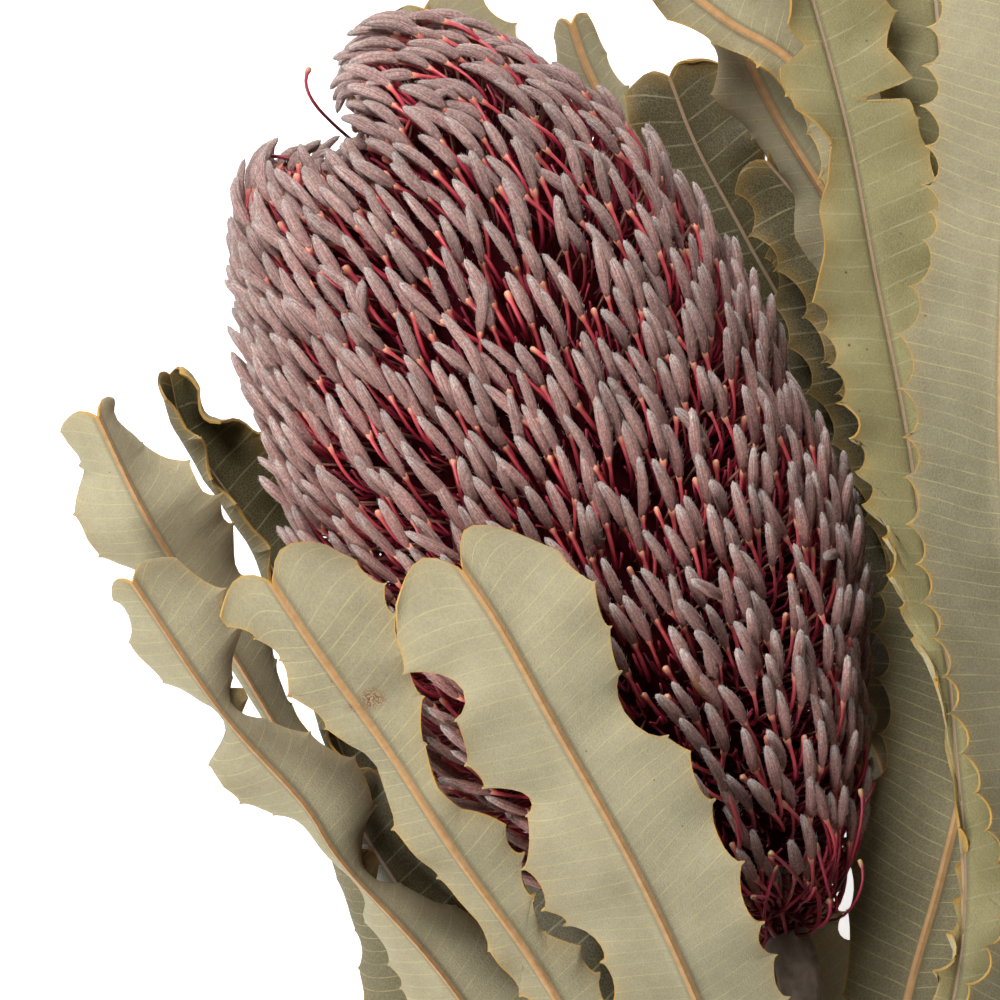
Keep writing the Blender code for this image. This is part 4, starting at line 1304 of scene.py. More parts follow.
LEAVES = (
    LeafForm(
        "leaf_front", -109, 80,
        ((-100, 8, 36), (-84, 7.5, 47), (-64, 8, 57), (-47, 9, 65), (-26, 12, 72), (-12, 14, 74),
         (-3, 16, 74)),
        12.6, (0, 0, -4, -6, -8, -4, 0, 0), pitch=6.6,
        curls=((0, 10, 14), (12, 4, 14), (25, 14, 12), (60, 8, 10)), lobe=3.1, notch=1.0,
        left=((0, 8.8, 0.1), (3.3, 11.4, 0.3), (7.7, 12.8, 3.4), (16.3, 9.9, 0.5), (22.3, 11.8, 0.5),
              (26.1, 11.6, 2.2), (32.1, 8.9, 0.6), (37.6, 12.0, 1.0), (43.8, 12.2, 0.9), (47.9, 11.3, 1.5),
              (54.4, 8.8, 0.7), (60, 9.5, 0.8)),
        right=((0, 7.4, 0.1), (5.5, 11.0, 0.6), (10.2, 12.2, 0.7), (15.6, 11.4, 0.5), (21.2, 10.0, 2.4),
               (30.9, 10.9, 0.2), (34, 12.6, 1.1), (41.1, 12.2, 1.4), (48.9, 11.8, 1.4), (56.8, 10.9, 1.2),
               (63, 11.0, 1.0), (69, 10.4, 0.8))),
    LeafForm(
        "leaf_front_left", -118, 45,
        ((-106, 15, 30), (-84, 20, 38), (-58, 24, 46), (-29, 30.5, 55), (-14, 34, 58), (3, 38, 59)),
        10.6, (0, -10, -18, -24, -28, -28, -24), pitch=6.4,
        curls=((0, -6, 44), (4, 4, 46), (10, 8, 40), (16, 8, 26), (28, 8, 22), (50, 8, 22), (70, 6, 18)),
        lobe=2.8, notch=0.3, tone=0.2, stains=((18.6, -1.9, 1.5), (18.2, 0.7, 0.6)),
        left=((0, 8.0, 0.3), (1.5, 8.2, 0.7), (4.6, 6.4, 0.5), (8.5, 5.8, 0.5), (12.7, 6.6, 0.9),
              (18.8, 5.4, 1.8), (34.4, 5.5, 0.9), (43.1, 4.9, 0.6), (54.2, 3.8, 0.5), (62, 4.4, 0.5)),
        right=((0, 8.2, 0.3), (3.8, 10.2, 0.8), (8.0, 10.8, 0.8), (11.8, 10.0, 0.8), (16.2, 8.6, 0.6),
               (22.1, 7.1, 0.5), (26.9, 4.2, 0.2), (32.1, 2.7, 0.1), (36.5, 3.3, -0.3), (41, 6.8, 1.0),
               (45.2, 6.5, 0.9), (50.2, 4.8, 0.5), (55.8, 3.0, 0.2), (59.7, 6.0, 0.9), (63.8, 6.0, 0.8),
               (68.5, 5.6, 0.6))),
    LeafForm(
        "leaf_left_twisted", -127, 20,
        ((-114, 20, 25), (-86, 29, 31), (-52, 36, 37), (-33, 43, 39), (-24, 45, 40), (-9, 50.5, 41),
         (10, 55, 42)),
        9.5, (0, -8, -14, -12, -12, -12, -12, -8), wave=0.6, pitch=5.6, tone=0.1, rib=0.34,
        curls=((0, 52, 50), (3, 55, 50), (8, 56, 38), (14, 62, 46), (18, 84, 88), (20, 106, 116),
               (22, 102, 116), (24.5, 48, 96), (28, 38, 84), (33, 52, 52), (38, 72, 36), (42, 82, 60),
               (45, 92, 92), (47, 106, 116), (49, 106, 116), (52, 72, 92), (56, 60, 72), (62, 48, 52),
               (72, 20, 30))),
    LeafForm(
        "leaf_left_between", -135, 0,
        ((-120, 20, 20.5), (-90, 28, 25), (-60, 33, 28), (-42, 37, 29.5), (-24, 41, 30)),
        8.0, (0, -10, -18, -22, -22, -20), tone=0.9, looks_up=Face.UPPER_SIDE,
        curls=((0, 50, 0), (6, 56, 10), (30, 56, 10), (50, 30, 0)),
        right=((0, 6, 0.5), (6, 9, 0.9), (12, 12, 1.2), (18, 16, 1.2), (24, 19, 1.2), (31, 20.5, 1.2),
               (38, 20.5, 1.2), (45, 20, 1.2), (52, 17, 1.0))),
    # Painted shade: darker toward its foot, where it lies in shadow under the leaves above
    LeafForm(
        "leaf_left_upper", -142, -10,
        ((-126, 23, 16), (-90, 34, 17.5), (-50, 41, 20), (-17, 45, 24), (3, 48.5, 27), (17, 51, 31),
         (31, 52, 34)),
        10.0, (0, 0, 5, 8, 8, 10, 10, 10), wave=0.6, pitch=5.6, tone=-0.2, painted_foot_shade=2.6,
        rib=0.36,
        curls=((0, 60, 50), (3, 62, 72), (8, 76, 70), (11, 60, 54), (15, 50, 10), (20, 56, 16),
               (25, 92, 34), (30, 116, 44), (42, 122, 66), (60, 112, 80), (76, 84, 76), (90, 40, 40))),
    # Painted shade: darkened in full, as it lies in shadow
    LeafForm(
        "leaf_left_dark", -152, -28,
        ((-134, 22, 11), (-100, 31, 8), (-60, 37, 8), (-30, 39, 9), (3, 39, 11), (14, 40.5, 13),
         (25, 43, 15), (33, 42, 18)),
        8.5, (0, 10, 14, 14, 14, 14, 14, 14, 14), wave=0.8, tone=1.0, looks_up=Face.UPPER_SIDE,
        curls=((0, -60, -60), (6, -70, -66), (8, -78, -60), (12, -76, -30), (18, -74, -20), (30, -72, -4),
               (70, -74, 0), (90, -74, 0), (110, -20, 0))),
    LeafForm(
        "leaf_resting", -174, 270,
        ((-156, 13, 5.4), (-128, 6, 2), (-102, -1, 0.5), (-84, -4, 0.3), (-60, -5, 0.3), (-20, -5, 0.3),
         (20, -5, 0.3), (66, -5, 0.3)),
        10.5, (0, 0, 0, 0, 0, 0, 0, 0, 0), fold=0.0, wave=0.0, taper_end=150.0),
    # Painted shade: darkened for the spike's shadow over it
    LeafForm(
        "leaf_right_shaded", -100, 180,
        ((-92, -6, 27), (-75, -16.5, 28.8), (-62, -26, 30.5), (-50, -34, 31.8), (-36, -41, 32.4),
         (-17, -46, 32.6), (2, -47, 32.6)),
        9.5, (0, 0, -4, -8, -10, -10, -10, -10), tone=0.85, wave=0.5,
        left=((0, 4, 0.5), (6, 8, 0.8), (12, 9.5, 1), (18, 10, 1), (25, 11, 1.2), (31.4, 12.2, 1.4),
              (36.6, 13.4, 1.9), (44, 12.8, 1.6), (51.9, 11.4, 1.8), (58.8, 11.9, 1.2), (67.6, 12.9, 1.0),
              (76, 10.2, 0.9), (85.7, 8.2, 0.8))),
    # Painted shade: darker toward its foot, where it lies in shadow
    LeafForm(
        "leaf_right_large", -104, 132,
        ((-97, -5, 37), (-86, -22, 45), (-68, -38, 52), (-50, -42.5, 56), (-31, -46, 58), (-13, -51, 60),
         (9, -60, 61), (25, -68, 62), (62, -84, 62)),
        12.2, (0, 20, 26, 28, 26, 18, 6, -8, -12, -12), wave=0.35, pitch=4.9, painted_foot_shade=0.9,
        left=((0, 7, 0.5), (5, 11, 1.6), (10, 12, 1.7), (15, 12, 1.7), (20.5, 12, 1.7), (26.5, 11.9, 1.7),
              (31.8, 11.6, 1.8), (36.6, 12.0, 1.9), (41.7, 12.0, 1.9), (47.1, 11.0, 1.7), (52, 10.6, 1.3),
              (54.9, 9.5, 1.2), (57.9, 10.1, 1.7), (63.5, 11.4, 2.0), (69.2, 12.9, 1.9), (75.5, 12.6, 1.9),
              (81, 12.1, 1.8), (85.4, 12.3, 1.7), (90.5, 12.8, 1.6), (95, 12.4, 1.6), (99.6, 12.6, 1.7),
              (103.7, 12.2, 1.6), (108.3, 12.0, 1.6), (112.8, 12.2, 1.7), (118, 11.8, 1.5),
              (122.5, 11.4, 1.4), (127.1, 10.8, 1.3), (132.4, 9.8, 1.2), (137, 8.6, 1.0))),
    LeafForm(
        "leaf_right_olive", -113, 152,
        ((-98, -7, 34), (-70, -25, 42), (-43, -34, 47), (-28, -37, 49), (-13, -40, 50.5), (3, -43, 51.5),
         (15, -45, 52), (37, -48.5, 53), (62, -50, 53)),
        9.0, (0, 5, 10, 15, 15, 15, 15, 15, 15, 15), wave=0.8, pitch=5.0, looks_up=Face.UPPER_SIDE,
        tears=((29.5, -1, 6.2, 0.75),),
        left=((0, 4, 0.5), (8, 5, 0.5), (14.5, 3, 0.2), (18, 4.1, -0.3), (21.2, 2.3, 0.2),
              (23.0, 6.4, -0.4), (26.5, 6.2, 0.1), (28.6, 6.1, 0.4), (33.9, 2.6, -0.1), (38.5, 4.0, -0.2),
              (42.2, 5.5, 0.2), (47.1, 6.4, 0.1), (52.4, 9.2, 1.5), (56.3, 8.4, 1.5), (60.7, 8.4, 1.5),
              (65.2, 8.3, 1.6), (69.8, 7.6, 1.6), (74, 7.2, 1.6), (78.2, 6.9, 1.4), (82.5, 5.3, 1.0),
              (87.2, 5.4, 0.9), (91.6, 4.4, 0.6), (95.6, 3.6, 0.4), (101, 1.9, 0.2), (109, 0.9, 0.1),
              (120, 0.8, 0.1)),
        right=((0, 4, 0.5), (8, 8, 0.6), (15, 8.6, 0.6), (20.2, 9.9, 0.3), (24.3, 7.1, 0.1),
               (28.2, 9.4, 0.6), (33.0, 9.0, 0.5), (37, 10.0, 0.8), (42, 10.2, 1.0), (47, 10.2, 1.0),
               (53, 10, 1.0), (60, 9.6, 1), (70, 9.2, 1), (80, 9, 1), (90, 9, 1), (100, 8, 0.8),
               (112, 6.5, 0.5))),
    LeafForm(
        "leaf_right_inner", -122, 172,
        ((-104, -12, 29.3), (-88, -22, 34.6), (-60, -36, 40.4), (-24, -45, 43.8), (-6, -50, 44.2),
         (11, -55, 45), (29, -60.5, 46), (52, -67, 46)),
        8.5, (0, 0, -2, -4, -4, -4, -4, -4, -4), tone=0.3, looks_up=Face.UPPER_SIDE,
        curls=((0, 0, 0), (75, 0, 0), (90, 82, 0), (160, 84, 0))),
    LeafForm(
        "leaf_behind_crossing", -130, 188,
        ((-108, -10, 25.5), (-78, -31, 34), (-40, -46, 37.4), (0, -50, 38), (26, -49, 38.6),
         (40, -45, 39.4), (48, -39, 40), (58, -33, 40.4)),
        8.0, (0, 0, -6, -10, -10, -8, -4, 0, 4), tone=0.3,
        curls=((0, 0, 0), (55, 0, 0), (75, 70, 0), (170, 76, 0)),
        left=((0, 3, 0.3), (6, 4.4, 0.5), (12, 3.2, 0.4), (18, 3.0, 0.4), (24, 3.4, 0.5), (30, 4.4, 0.7),
              (36, 6.0, 0.9), (42, 7.4, 1.0))),
    LeafForm(
        "leaf_behind_pale", -137, 198,
        ((-116, -8, 20.7), (-84, -28, 24.6), (-40, -45, 28), (0, -46, 28.6), (20, -44, 29.5),
         (36, -41, 30.5), (48, -40, 31.5)),
        8.5, (0, 0, -8, -14, -15, -15, -15, -15),
        curls=((0, 46, 66), (8, 48, 66), (14, 52, 70), (24, 50, 50), (44, 20, 20))),
    LeafForm(
        "leaf_behind_torn", -144, 206,
        ((-122, -6, 17.3), (-84, -28, 20.8), (-40, -45, 24), (0, -44, 24.6), (18, -42, 25), (31, -38, 26)),
        8.0, (0, 0, -10, -18, -20, -20, -20), tone=1.0, looks_up=Face.UPPER_SIDE, wave=0.5),
    LeafForm(
        "leaf_behind_narrow", -150, 214,
        ((-128, -5, 14), (-84, -28, 17), (-40, -46, 20.5), (0, -48, 21.5), (22, -47, 22), (42, -47, 22)),
        8.5, (0, 0, -12, -22, -23, -23, -23), tone=0.7, looks_up=Face.UPPER_SIDE,
        curls=((0, 30, 0), (10, 20, 0), (24, 60, 20), (40, 60, 20))),
    LeafForm(
        "leaf_behind_low", -156, 222,
        ((-134, -3, 11), (-90, -26, 12), (-50, -40, 14.5), (-19, -42, 15.5), (5, -41, 16), (21, -40, 16.5)),
        8.5, (0, 0, -12, -20, -22, -22, -22), tone=1.0, looks_up=Face.UPPER_SIDE, wave=0.4),
    LeafForm(
        "leaf_behind_lobed", -162, 234,
        ((-138, 2, 8), (-90, -20, 7.5), (-40, -34, 9), (0, -35, 9.5), (22, -33, 10.5), (36, -31, 12),
         (46, -31, 13)),
        9.0, (0, 0, -10, -18, -20, -20, -18, -16), tone=0.9, looks_up=Face.UPPER_SIDE,
        curls=((0, 10, 20), (12, 10, 0), (30, 10, 10))),
    LeafForm(
        "leaf_behind_tip", -168, 250,
        ((-146, 6, 5.5), (-105, -12, 3.4), (-60, -24, 3.2), (-10, -26, 3.2), (30, -25, 4.2), (48, -22, 6),
         (57, -22, 6.4)),
        8.5, (0, 0, -8, -16, -18, -16, -12, -10), wave=0.5, tone=0.3,
        curls=((0, 60, 60), (9, 58, 58), (18, 60, 60), (30, 30, 30)),
        right=((0, 2.5, 0.4), (6, 4.5, 0.8), (12, 5.0, 0.9), (18, 5.6, 0.9), (25, 6.5, 0.9))),
)


@dataclass
class WoodyStem:
    """The cut stem: grey-brown bark with leaf scars, and pale wood at the cut.

    Sizes are in millimetres. A ridge is its height, how many run round the stem, and its twist.
    """

    line_points: tuple = ((-60.7, -5, 35.0), (-68, -4.6, 34.6), (-90, 3, 30.4), (-110, 8, 26.4),
                          (-150, 15, 17.4), (-180, 19, 10.8), (-210, 22, 4.25))
    radius_top: float = 2.9
    radius_cut: float = 4.2
    sides: int = 28
    ring_spacing: float = 0.8
    ridges: tuple = ((0.10, 7, 0.21), (0.07, 11, -0.13))
    ridge_sunk: float = 0.16
    scar_height: float = 0.25
    scar_spacing: float = 17.0
    scar_start: float = 8.0
    scar_half_length: float = 1.6
    weld: float = 0.02

    def line(self) -> SmoothLine:
        """Centre line from the spike to the cut end."""
        return SmoothLine(self.line_points)

    def radius(self, distance: np.ndarray) -> np.ndarray:
        """Radius at a distance from the spike."""
        return self.radius_top + (self.radius_cut - self.radius_top) * distance / self.line().length

    def build(self) -> None:
        """Model the bark tube from a grid rolled up, close both of its ends, and dress it."""
        line = self.line()
        rings = int(line.length / self.ring_spacing)
        deselect_all()
        bpy.ops.mesh.primitive_grid_add(x_subdivisions=self.sides, y_subdivisions=rings, size=2.0)
        piece = bpy.context.object
        piece.name = "stem_bark"
        points = np.array([tuple(vertex.co) for vertex in piece.data.vertices])
        turn = points[:, 0] * math.pi
        distance = (points[:, 1] + 1) / 2 * line.length
        side, up = side_and_up(line.tangent(distance))
        grain = sum(height * np.sin(count * turn + distance * twist) for height, count, twist in self.ridges)
        beside = (distance % self.scar_spacing - self.scar_start) / self.scar_half_length
        scars = self.scar_height * np.exp(-beside ** 2) * (0.6 + 0.4 * np.cos(turn + distance))
        out = (self.radius(distance) - self.ridge_sunk + grain + scars)[:, None]
        placed = line.at(distance) + out * (np.cos(turn)[:, None] * side + np.sin(turn)[:, None] * up)
        placed[:, 2] = np.maximum(placed[:, 2], 0.0)
        piece.data.vertices.foreach_set("co", (placed * MM).ravel())
        bpy.ops.object.mode_set(mode="EDIT")
        bpy.ops.mesh.select_all(action="SELECT")
        bpy.ops.mesh.remove_doubles(threshold=self.weld * MM)
        bpy.ops.mesh.select_all(action="DESELECT")
        bpy.ops.mesh.select_non_manifold()
        bpy.ops.mesh.edge_face_add()
        bpy.ops.mesh.select_all(action="SELECT")
        bpy.ops.mesh.normals_make_consistent(inside=False)
        bpy.ops.object.mode_set(mode="OBJECT")
        bpy.ops.object.shade_smooth_by_angle(angle=math.radians(40))
        piece.data.materials.clear()
        piece.data.materials.append(PlainDry("dried bark", "AE9C8C", "40342A", 1.6).build())
        piece.data.materials.append(PlainDry("cut pith wood", "CDB48C", "A98A5E", 0.6).build())
        # Only the two end faces have more than four corners
        for face in piece.data.polygons:
            if len(face.vertices) > 4:
                face.material_index = 1
        finish_piece(piece, (STEM_NODE,))


@dataclass
class Foliage:
    """Every leaf: thin, toothed, waved blades with a ridge at the midrib. Sizes are in millimetres."""

    stem: WoodyStem
    columns: int = 18
    rows_per_tooth: int = 8
    tooth_depth: float = 1.5
    point_length: float = 0.3
    thickness: float = 0.36
    foot_half_width: float = 1.3
    foot_length: float = 6.0
    taper_end: float = 44.0
    tip_rounding: float = 7.5
    seat_gap: float = 0.3
    ridge: float = 0.75
    margin_blend: float = 40.0
    lobe_reach: float = 9.0
    lobe_power: float = 0.8
    notch_half_width: float = 1.8
    notch_reach: float = 4.0
    column_shares: tuple = (0, 0.04, 0.085, 0.2, 0.36, 0.54, 0.7, 0.84, 0.94, 1)
    hollow_power: float = 2.5
    curl_at_midrib: float = 0.55
    wave_power: float = 1.6
    long_wave: float = 0.35
    upper_ridge: float = -0.2
    upper_rib_share: float = 0.6
    floor_gap: float = 0.01

    def finishes(self) -> dict[Face, bpy.types.Material]:
        """Make the finishes of both faces.

        Returns:
            The material of each face.
        """
        felt = LeafSkin(Face.UNDERSIDE, ground="ADA486", shade="736B52", vein="CBC286", midrib="CCA474",
                        crease="A87E50", rim="C69A48", speck="7A4A2A", vein_spacing=1.9, roughness=0.9)
        leather = LeafSkin(Face.UPPER_SIDE, ground="9A9164", shade="4E462A", vein="B2AB85", midrib="A98E78",
                           crease="9A8262", rim="AE8842", speck="5B3220", vein_spacing=3.2, net_cell=0.4,
                           net_strength=0.16, wash=0.3, speck_cell=3.333, roughness=0.55)
        return {Face.UNDERSIDE: felt.build(), Face.UPPER_SIDE: leather.build()}

    def foot_point(self, leaf: LeafForm) -> np.ndarray:
        """Where the middle of a leaf's foot sits, just clear of the bark.

        Args:
            leaf: The leaf.

        Returns:
            A point in millimetres.
        """
        line = self.stem.line()
        steps = np.arange(0.0, line.length, 0.5)
        distance = steps[np.argmax(line.at(steps)[:, 0] <= leaf.foot_x)]
        side, up = side_and_up(line.tangent(distance))
        angle = math.radians(leaf.foot_angle)
        outward = -math.cos(angle) * side + math.sin(angle) * up
        centre = line.at(distance)
        return centre + (self.stem.radius(distance) + self.seat_gap + self.foot_half_width) * outward

    def half_width(self, leaf: LeafForm, distance: np.ndarray, length: float) -> np.ndarray:
        """Find the half width of the blade without its teeth.

        Args:
            leaf: The leaf.
            distance: Millimetres from the foot.
            length: Length of the midrib.

        Returns:
            Half widths in millimetres.
        """
        taper = smoothstep((distance - self.foot_length) / (leaf.taper_end - self.foot_length))
        width = self.foot_half_width + (leaf.half_width - self.foot_half_width) * taper
        left = np.clip((length - distance) / self.tip_rounding, 0.0, 1.0)
        return width * (0.34 + 0.66 * np.sqrt(np.clip(1.0 - (1.0 - left) ** 2, 0.0, 1.0)))

    def posts(self, leaf: LeafForm, length: float, given: tuple, draw: np.random.Generator) -> np.ndarray:
        """Teeth of one margin from the foot up, drawn for this leaf where none are given.

        Args:
            leaf: The leaf.
            length: Length of its midrib.
            given: Teeth given from the tip back, or none.
            draw: Random source of the leaf.

        Returns:
            For each tooth its distance, its half width and the hollow before the next one.
        """
        start = self.taper_end * 0.4
        end = length - given[-1][0] - leaf.pitch if given else length - 1.6
        count = max(round((end - start) / leaf.pitch), 1)
        places = start + (end - start) * np.arange(count + 1) / count
        places[1:-1] += draw.uniform(-0.2, 0.2, count - 1) * leaf.pitch
        hollows = self.tooth_depth * draw.uniform(0.45, 1.3, count + 1)
        widths = self.half_width(leaf, places, length)
        if given:
            share = given[-1][1] / float(self.half_width(leaf, np.array([length - given[-1][0]]), length)[0])
            widths = widths * (1.0 + (share - 1.0) * smoothstep(1.0 - (end - places) / self.margin_blend))
        drawn = [tuple(post) for post in zip(places, widths, hollows)]
        known = [(length - left, width, hollow) for left, width, hollow in reversed(given) if left > 0.0]
        hollow_down = [post[2] for post in known[1:]] + [known[-1][2]] if known else []
        known = [(post[0], post[1], hollow) for post, hollow in zip(known, hollow_down)]
        return np.array(drawn + known)

    def margin(self, leaf: LeafForm, length: float, given: tuple, posts: np.ndarray,
               count: int) -> tuple[np.ndarray, np.ndarray, np.ndarray]:
        """Rows along one margin: their distances, the half width and the hollow between teeth at each.

        Args:
            leaf: The leaf.
            length: Length of the midrib.
            given: Teeth given from the tip back, or none.
            posts: Teeth of the margin, from the foot up.
            count: Rows to share out between the teeth.

        Returns:
            Distances, half widths and hollows, a row for each.
        """
        start = float(posts[0, 0])
        foot = np.linspace(0.0, start, 12, endpoint=False)
        distances, widths, hollows = [foot], [self.half_width(leaf, foot, length)], [np.zeros(12)]
        for tooth, share in enumerate(np.array_split(np.arange(count), len(posts) - 1)):
            within = np.arange(len(share)) / len(share)
            crowded = 0.5 - 0.5 * np.cos(within * math.pi)
            low, high = posts[tooth], posts[tooth + 1]
            distances.append(low[0] + (high[0] - low[0]) * crowded)
            widths.append(low[1] + (high[1] - low[1]) * crowded)
            arch = np.sin(math.pi * crowded ** 0.85) ** 0.7
            hollows.append(low[2] * arch - self.point_length * (within == 0.0) * (low[2] > 0.25))
        end = np.linspace(posts[-1, 0], length, 7)
        distances.append(end)
        if given:
            widths.append(np.linspace(posts[-1, 1], given[0][1], 7))
        else:
            widths.append(self.half_width(leaf, end, length))
        hollows.append(np.zeros(7))
        return np.concatenate(distances), np.concatenate(widths), np.concatenate(hollows)

    def curl(self, leaf: LeafForm, left: np.ndarray, hand: np.ndarray) -> np.ndarray:
        """Angle in radians that each half of the blade turns down by.

        Args:
            leaf: The leaf.
            left: Millimetres left to the tip.
            hand: 1 for the left half and -1 for the right.

        Returns:
            The angle at each point.
        """
        stations = [entry[0] for entry in leaf.curls]
        turned = [np.interp(left, stations, [entry[side] for entry in leaf.curls]) for side in (1, 2)]
        return np.radians(np.where(hand > 0, turned[0], turned[1]))

    def torn(self, leaf: LeafForm, left: np.ndarray, hand: np.ndarray) -> np.ndarray:
        """Find how far tears cut into the blade at each point's row.

        Args:
            leaf: The leaf.
            left: Millimetres left to the tip.
            hand: 1 for the left half and -1 for the right.

        Returns:
            Depths of the cuts in millimetres.
        """
        cut = np.zeros(len(left))
        for place, side, depth, width in leaf.tears:
            gap = np.exp(-(np.abs(left - place) / width) ** 3)
            cut = np.maximum(cut, depth * gap * (hand == side))
        return cut

    def shape(self, leaf: LeafForm) -> bpy.types.Object:
        """Model one blade from a grid: rows follow the teeth of both margins, columns the midrib.

        Args:
            leaf: The leaf.

        Returns:
            The blade as a single skin with its plan, edge, stain, tone and rib attributes.
        """
        draw = np.random.default_rng([SEED, len(leaf.node), int(-leaf.foot_x)])
        line = SmoothLine((tuple(self.foot_point(leaf)), *leaf.midrib))
        left_posts = self.posts(leaf, line.length, leaf.left, draw)
        right_posts = self.posts(leaf, line.length, leaf.right, draw)
        count = self.rows_per_tooth * (max(len(left_posts), len(right_posts)) - 1)
        left_rows, left_widths, left_hollows = self.margin(leaf, line.length, leaf.left, left_posts, count)
        right_rows, right_widths, right_hollows = self.margin(leaf, line.length, leaf.right, right_posts,
                                                              count)
        rows = len(left_rows)
        deselect_all()
        bpy.ops.mesh.primitive_grid_add(x_subdivisions=self.columns, y_subdivisions=rows - 1, size=2.0)
        piece = bpy.context.object
        piece.name = leaf.node + "_blade"
        grid = np.array([tuple(vertex.co) for vertex in piece.data.vertices])
        hand = np.where(grid[:, 0] < 0, 1.0, -1.0)
        even = np.linspace(0, 1, len(self.column_shares))
        out = np.interp(np.abs(grid[:, 0]), even, self.column_shares)
        row = np.round((grid[:, 1] + 1) / 2 * (rows - 1)).astype(int)
        middle = (left_rows + right_rows) / 2
        edge_distance = np.where(hand > 0, left_rows[row], right_rows[row])
        distance = middle[row] + (edge_distance - middle[row]) * out
        hollow = np.where(hand > 0, left_hollows[row], right_hollows[row])
        blade = smoothstep((distance - self.foot_length) / self.taper_end)
        width = np.where(hand > 0, left_widths[row], right_widths[row])
        cut = self.torn(leaf, line.length - edge_distance, hand)
        reach = (width - cut) * out - hollow * blade * out ** self.hollow_power
        share_turned = self.curl_at_midrib + (1.0 - self.curl_at_midrib) * out
        curl = self.curl(leaf, line.length - distance, hand) * share_turned
        roll = np.radians(line.blend(distance, leaf.rolls))[:, None]
        side, up = side_and_up(line.tangent(distance))
        across = np.cos(roll) * side + np.sin(roll) * up
        normal = np.cos(roll) * up - np.sin(roll) * side
        phase = draw.uniform(0, 2 * math.pi, 4)
        ripple = 2 * math.pi / (leaf.pitch * draw.uniform(2.6, 3.6))
        short_wave = 0.45 * np.sin(2.3 * ripple * distance + phase[1] - hand)
        wave = np.sin(ripple * distance + phase[0] + hand) + short_wave
        rise = reach * math.tan(math.radians(leaf.fold)) + leaf.wave * wave * out ** self.wave_power
        rise += self.long_wave * leaf.wave * np.sin(ripple * 0.6 * distance + phase[2])
        rib = np.exp(-(reach / leaf.rib) ** 2) * self.ridge
        rise += rib if leaf.looks_up is Face.UNDERSIDE else self.upper_ridge * rib
        rise *= blade
        aside = hand * (reach * np.cos(curl) + rise * np.sin(curl) * out)
        lift = rise * (1 - out + out * np.cos(curl)) - reach * np.sin(curl)
        left = line.length - distance
        notch = leaf.notch * np.exp(-(reach / self.notch_half_width) ** 2)
        notch = notch * smoothstep(1.0 - left / self.notch_reach)
        lobed = leaf.lobe * np.sin(math.pi * out ** self.lobe_power)
        lobed = lobed * smoothstep(1.0 - left / self.lobe_reach)
        placed = line.at(distance - notch + lobed) + aside[:, None] * across + lift[:, None] * normal
        placed[:, 2] = np.maximum(placed[:, 2], self.thickness / 2 + self.floor_gap)
        piece.data.vertices.foreach_set("co", (placed * MM).ravel())
        plan = np.stack([hand * reach, distance, np.full(len(reach), len(leaf.node) * 3.7)], axis=1)
        edge = np.minimum((1.0 - out) * (width - cut), np.maximum(line.length - distance, 0.0) * 0.9)
        piece.data.attributes.new("plan", "FLOAT_VECTOR", "POINT").data.foreach_set("vector", plan.ravel())
        # Painted shade: the leaf's tone plus a share that grows toward the foot, for shadow over its lower
        # part
        tone = leaf.tone + leaf.painted_foot_shade * (1.0 - distance / line.length)
        stain = np.zeros(len(reach))
        for place, aside_mm, radius in leaf.stains:
            apart = np.hypot(left - place, hand * reach - aside_mm)
            stain = np.maximum(stain, np.exp(-(apart / radius) ** 4))
        rib_share = 1.0 if leaf.looks_up is Face.UNDERSIDE else self.upper_rib_share
        rib_width = np.full(len(reach), rib_share * leaf.rib)
        for name, values in (("edge", edge), ("stain", stain), ("tone", tone), ("rib", rib_width)):
            piece.data.attributes.new(name, "FLOAT", "POINT").data.foreach_set("value", values)
        piece.data.update()
        return piece

    def build(self) -> None:
        """Model and dress every leaf."""
        skins = self.finishes()
        for leaf in LEAVES:
            piece = self.shape(leaf)
            below = Face.UPPER_SIDE if leaf.looks_up is Face.UNDERSIDE else Face.UNDERSIDE
            piece.data.materials.clear()
            piece.data.materials.append(skins[leaf.looks_up])
            piece.data.materials.append(skins[below])
            wall = piece.modifiers.new("blade", "SOLIDIFY")
            wall.thickness = self.thickness * MM
            wall.offset = 0.0
            wall.material_offset = 1
            wall.use_even_offset = False
            bpy.ops.object.modifier_apply(modifier=wall.name)
            bpy.ops.object.shade_smooth_by_angle(angle=math.radians(50))
            finish_piece(piece, (leaf.node,))


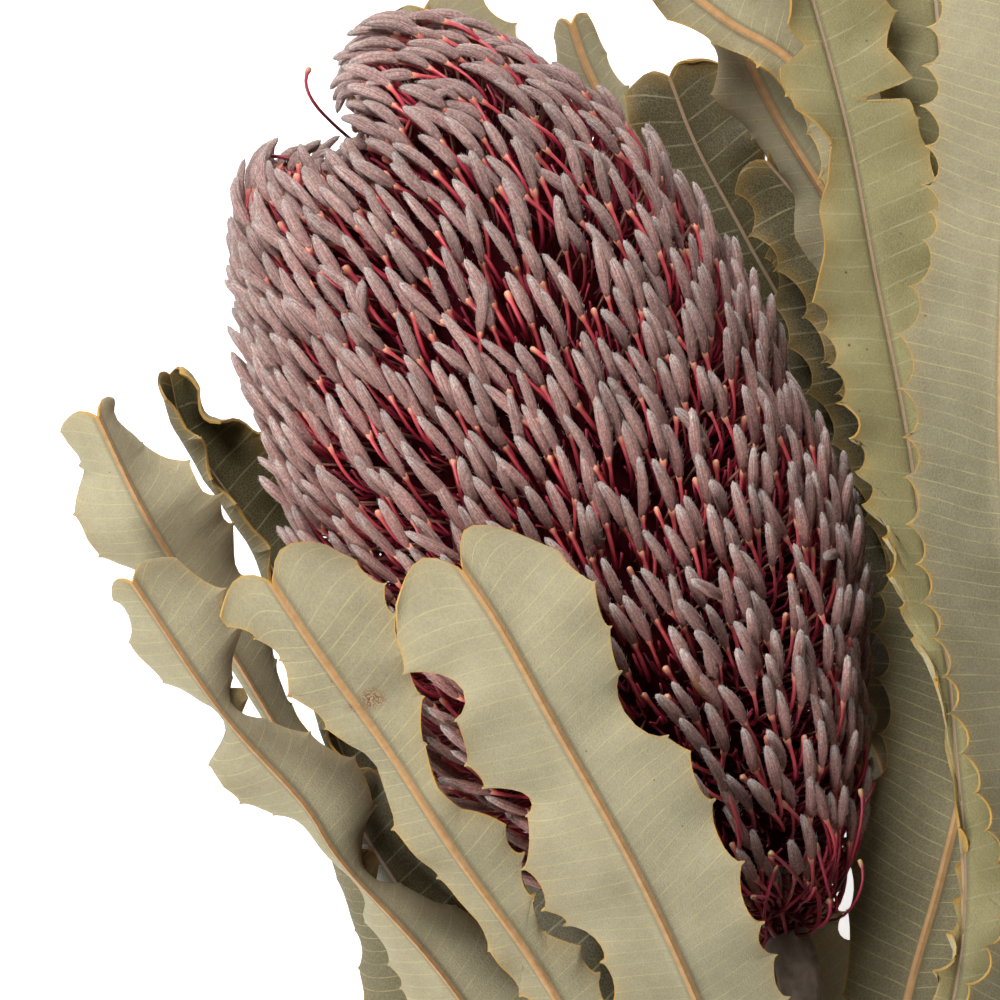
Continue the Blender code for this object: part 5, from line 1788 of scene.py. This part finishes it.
@dataclass
class Studio:
    """Pale floor, soft light from the picture's left, and the camera looking straight down.

    Sizes are in millimetres. A softbox is its name, its place in the picture, its side and its watts.
    """

    picture_mm: float = 125.0
    camera_distance: float = 1000.0
    axis_height: float = 35.5
    picture_centre: tuple = (2.364, 8.599)
    spike_tilt: float = 21.0
    sensor: float = 36.0
    floor_size: float = 8000.0
    floor_drop: float = 0.2
    floor_glow: float = 0.75
    world_glow: float = 0.04
    softboxes: tuple = (("key softbox", (-150.0, 340.0, 420.0), 240.0, 3.3),
                        ("low softbox", (-240.0, -430.0, 420.0), 240.0, 3.0),
                        ("fill softbox", (350.0, -250.0, 900.0), 700.0, 0.15))

    def directions(self) -> tuple[np.ndarray, np.ndarray]:
        """Find the picture's right and up, on the floor.

        Returns:
            Both directions.
        """
        tilt = math.radians(self.spike_tilt)
        up = np.array([math.cos(tilt), -math.sin(tilt), 0.0])
        right = np.array([-math.sin(tilt), -math.cos(tilt), 0.0])
        return right, up

    def camera(self) -> None:
        """Place the camera over the spike, turned as the photograph is."""
        right, up = self.directions()
        data = bpy.data.cameras.new("camera")
        data.sensor_width = self.sensor
        data.lens = self.sensor * self.camera_distance / self.picture_mm
        data.clip_start = 0.01
        data.clip_end = 20.0
        camera = bpy.data.objects.new("camera", data)
        bpy.context.scene.collection.objects.link(camera)
        turned = Matrix((right, up, (0, 0, 1))).transposed().to_4x4()
        height = self.axis_height + self.camera_distance
        turned.translation = (self.picture_centre[0] * MM, self.picture_centre[1] * MM, height * MM)
        camera.matrix_world = turned
        bpy.context.scene.camera = camera

    def softbox(self, name: str, place: tuple[float, float, float], size: float, power: float) -> None:
        """Add a square soft light aimed at the spike.

        Args:
            name: Name of the light.
            place: Millimetres to the picture's right, to its top and up from the floor.
            size: Side of the light.
            power: Watts.
        """
        right, up = self.directions()
        spot = place[0] * right + place[1] * up + np.array([0.0, 0.0, place[2]])
        data = bpy.data.lights.new(name, "AREA")
        data.size = size * MM
        data.energy = power
        light = bpy.data.objects.new(name, data)
        bpy.context.scene.collection.objects.link(light)
        light.location = Vector(spot * MM)
        aim = Vector((0.0, 0.0, self.axis_height * MM)) - light.location
        light.rotation_euler = aim.to_track_quat("-Z", "Y").to_euler()

    def floor(self) -> None:
        """Lay a pale sweep, faintly lit from below as a light table is, so that shadows stay light."""
        deselect_all()
        bpy.ops.mesh.primitive_plane_add(size=self.floor_size * MM, location=(0, 0, -self.floor_drop * MM))
        floor = bpy.context.object
        floor.name = "studio_floor"
        material, _, shader = new_material("matt white sweep")
        shader.inputs["Base Color"].default_value = linear("F4F4F4")
        shader.inputs["Roughness"].default_value = 0.9
        shader.inputs["Emission Color"].default_value = linear("FFFFFF")
        shader.inputs["Emission Strength"].default_value = self.floor_glow
        floor.data.materials.append(material)

    def build(self) -> None:
        """Set up the whole studio."""
        self.camera()
        self.floor()
        for name, place, size, power in self.softboxes:
            self.softbox(name, place, size, power)
        world = bpy.data.worlds.new("studio")
        world.use_nodes = True
        background = world.node_tree.nodes["Background"]
        background.inputs["Color"].default_value = linear("FFFFFF")
        background.inputs["Strength"].default_value = self.world_glow
        bpy.context.scene.world = world
        bpy.context.scene.view_settings.view_transform = "Standard"


def main() -> None:
    """Build the spike, the stem, the leaves and the studio."""
    logging.basicConfig(level=logging.INFO, format="%(name)s %(message)s")
    stem = WoodyStem()
    stem.build()
    FlowerSpike().build()
    Foliage(stem).build()
    Studio().build()


if __name__ == "__main__":
    main()
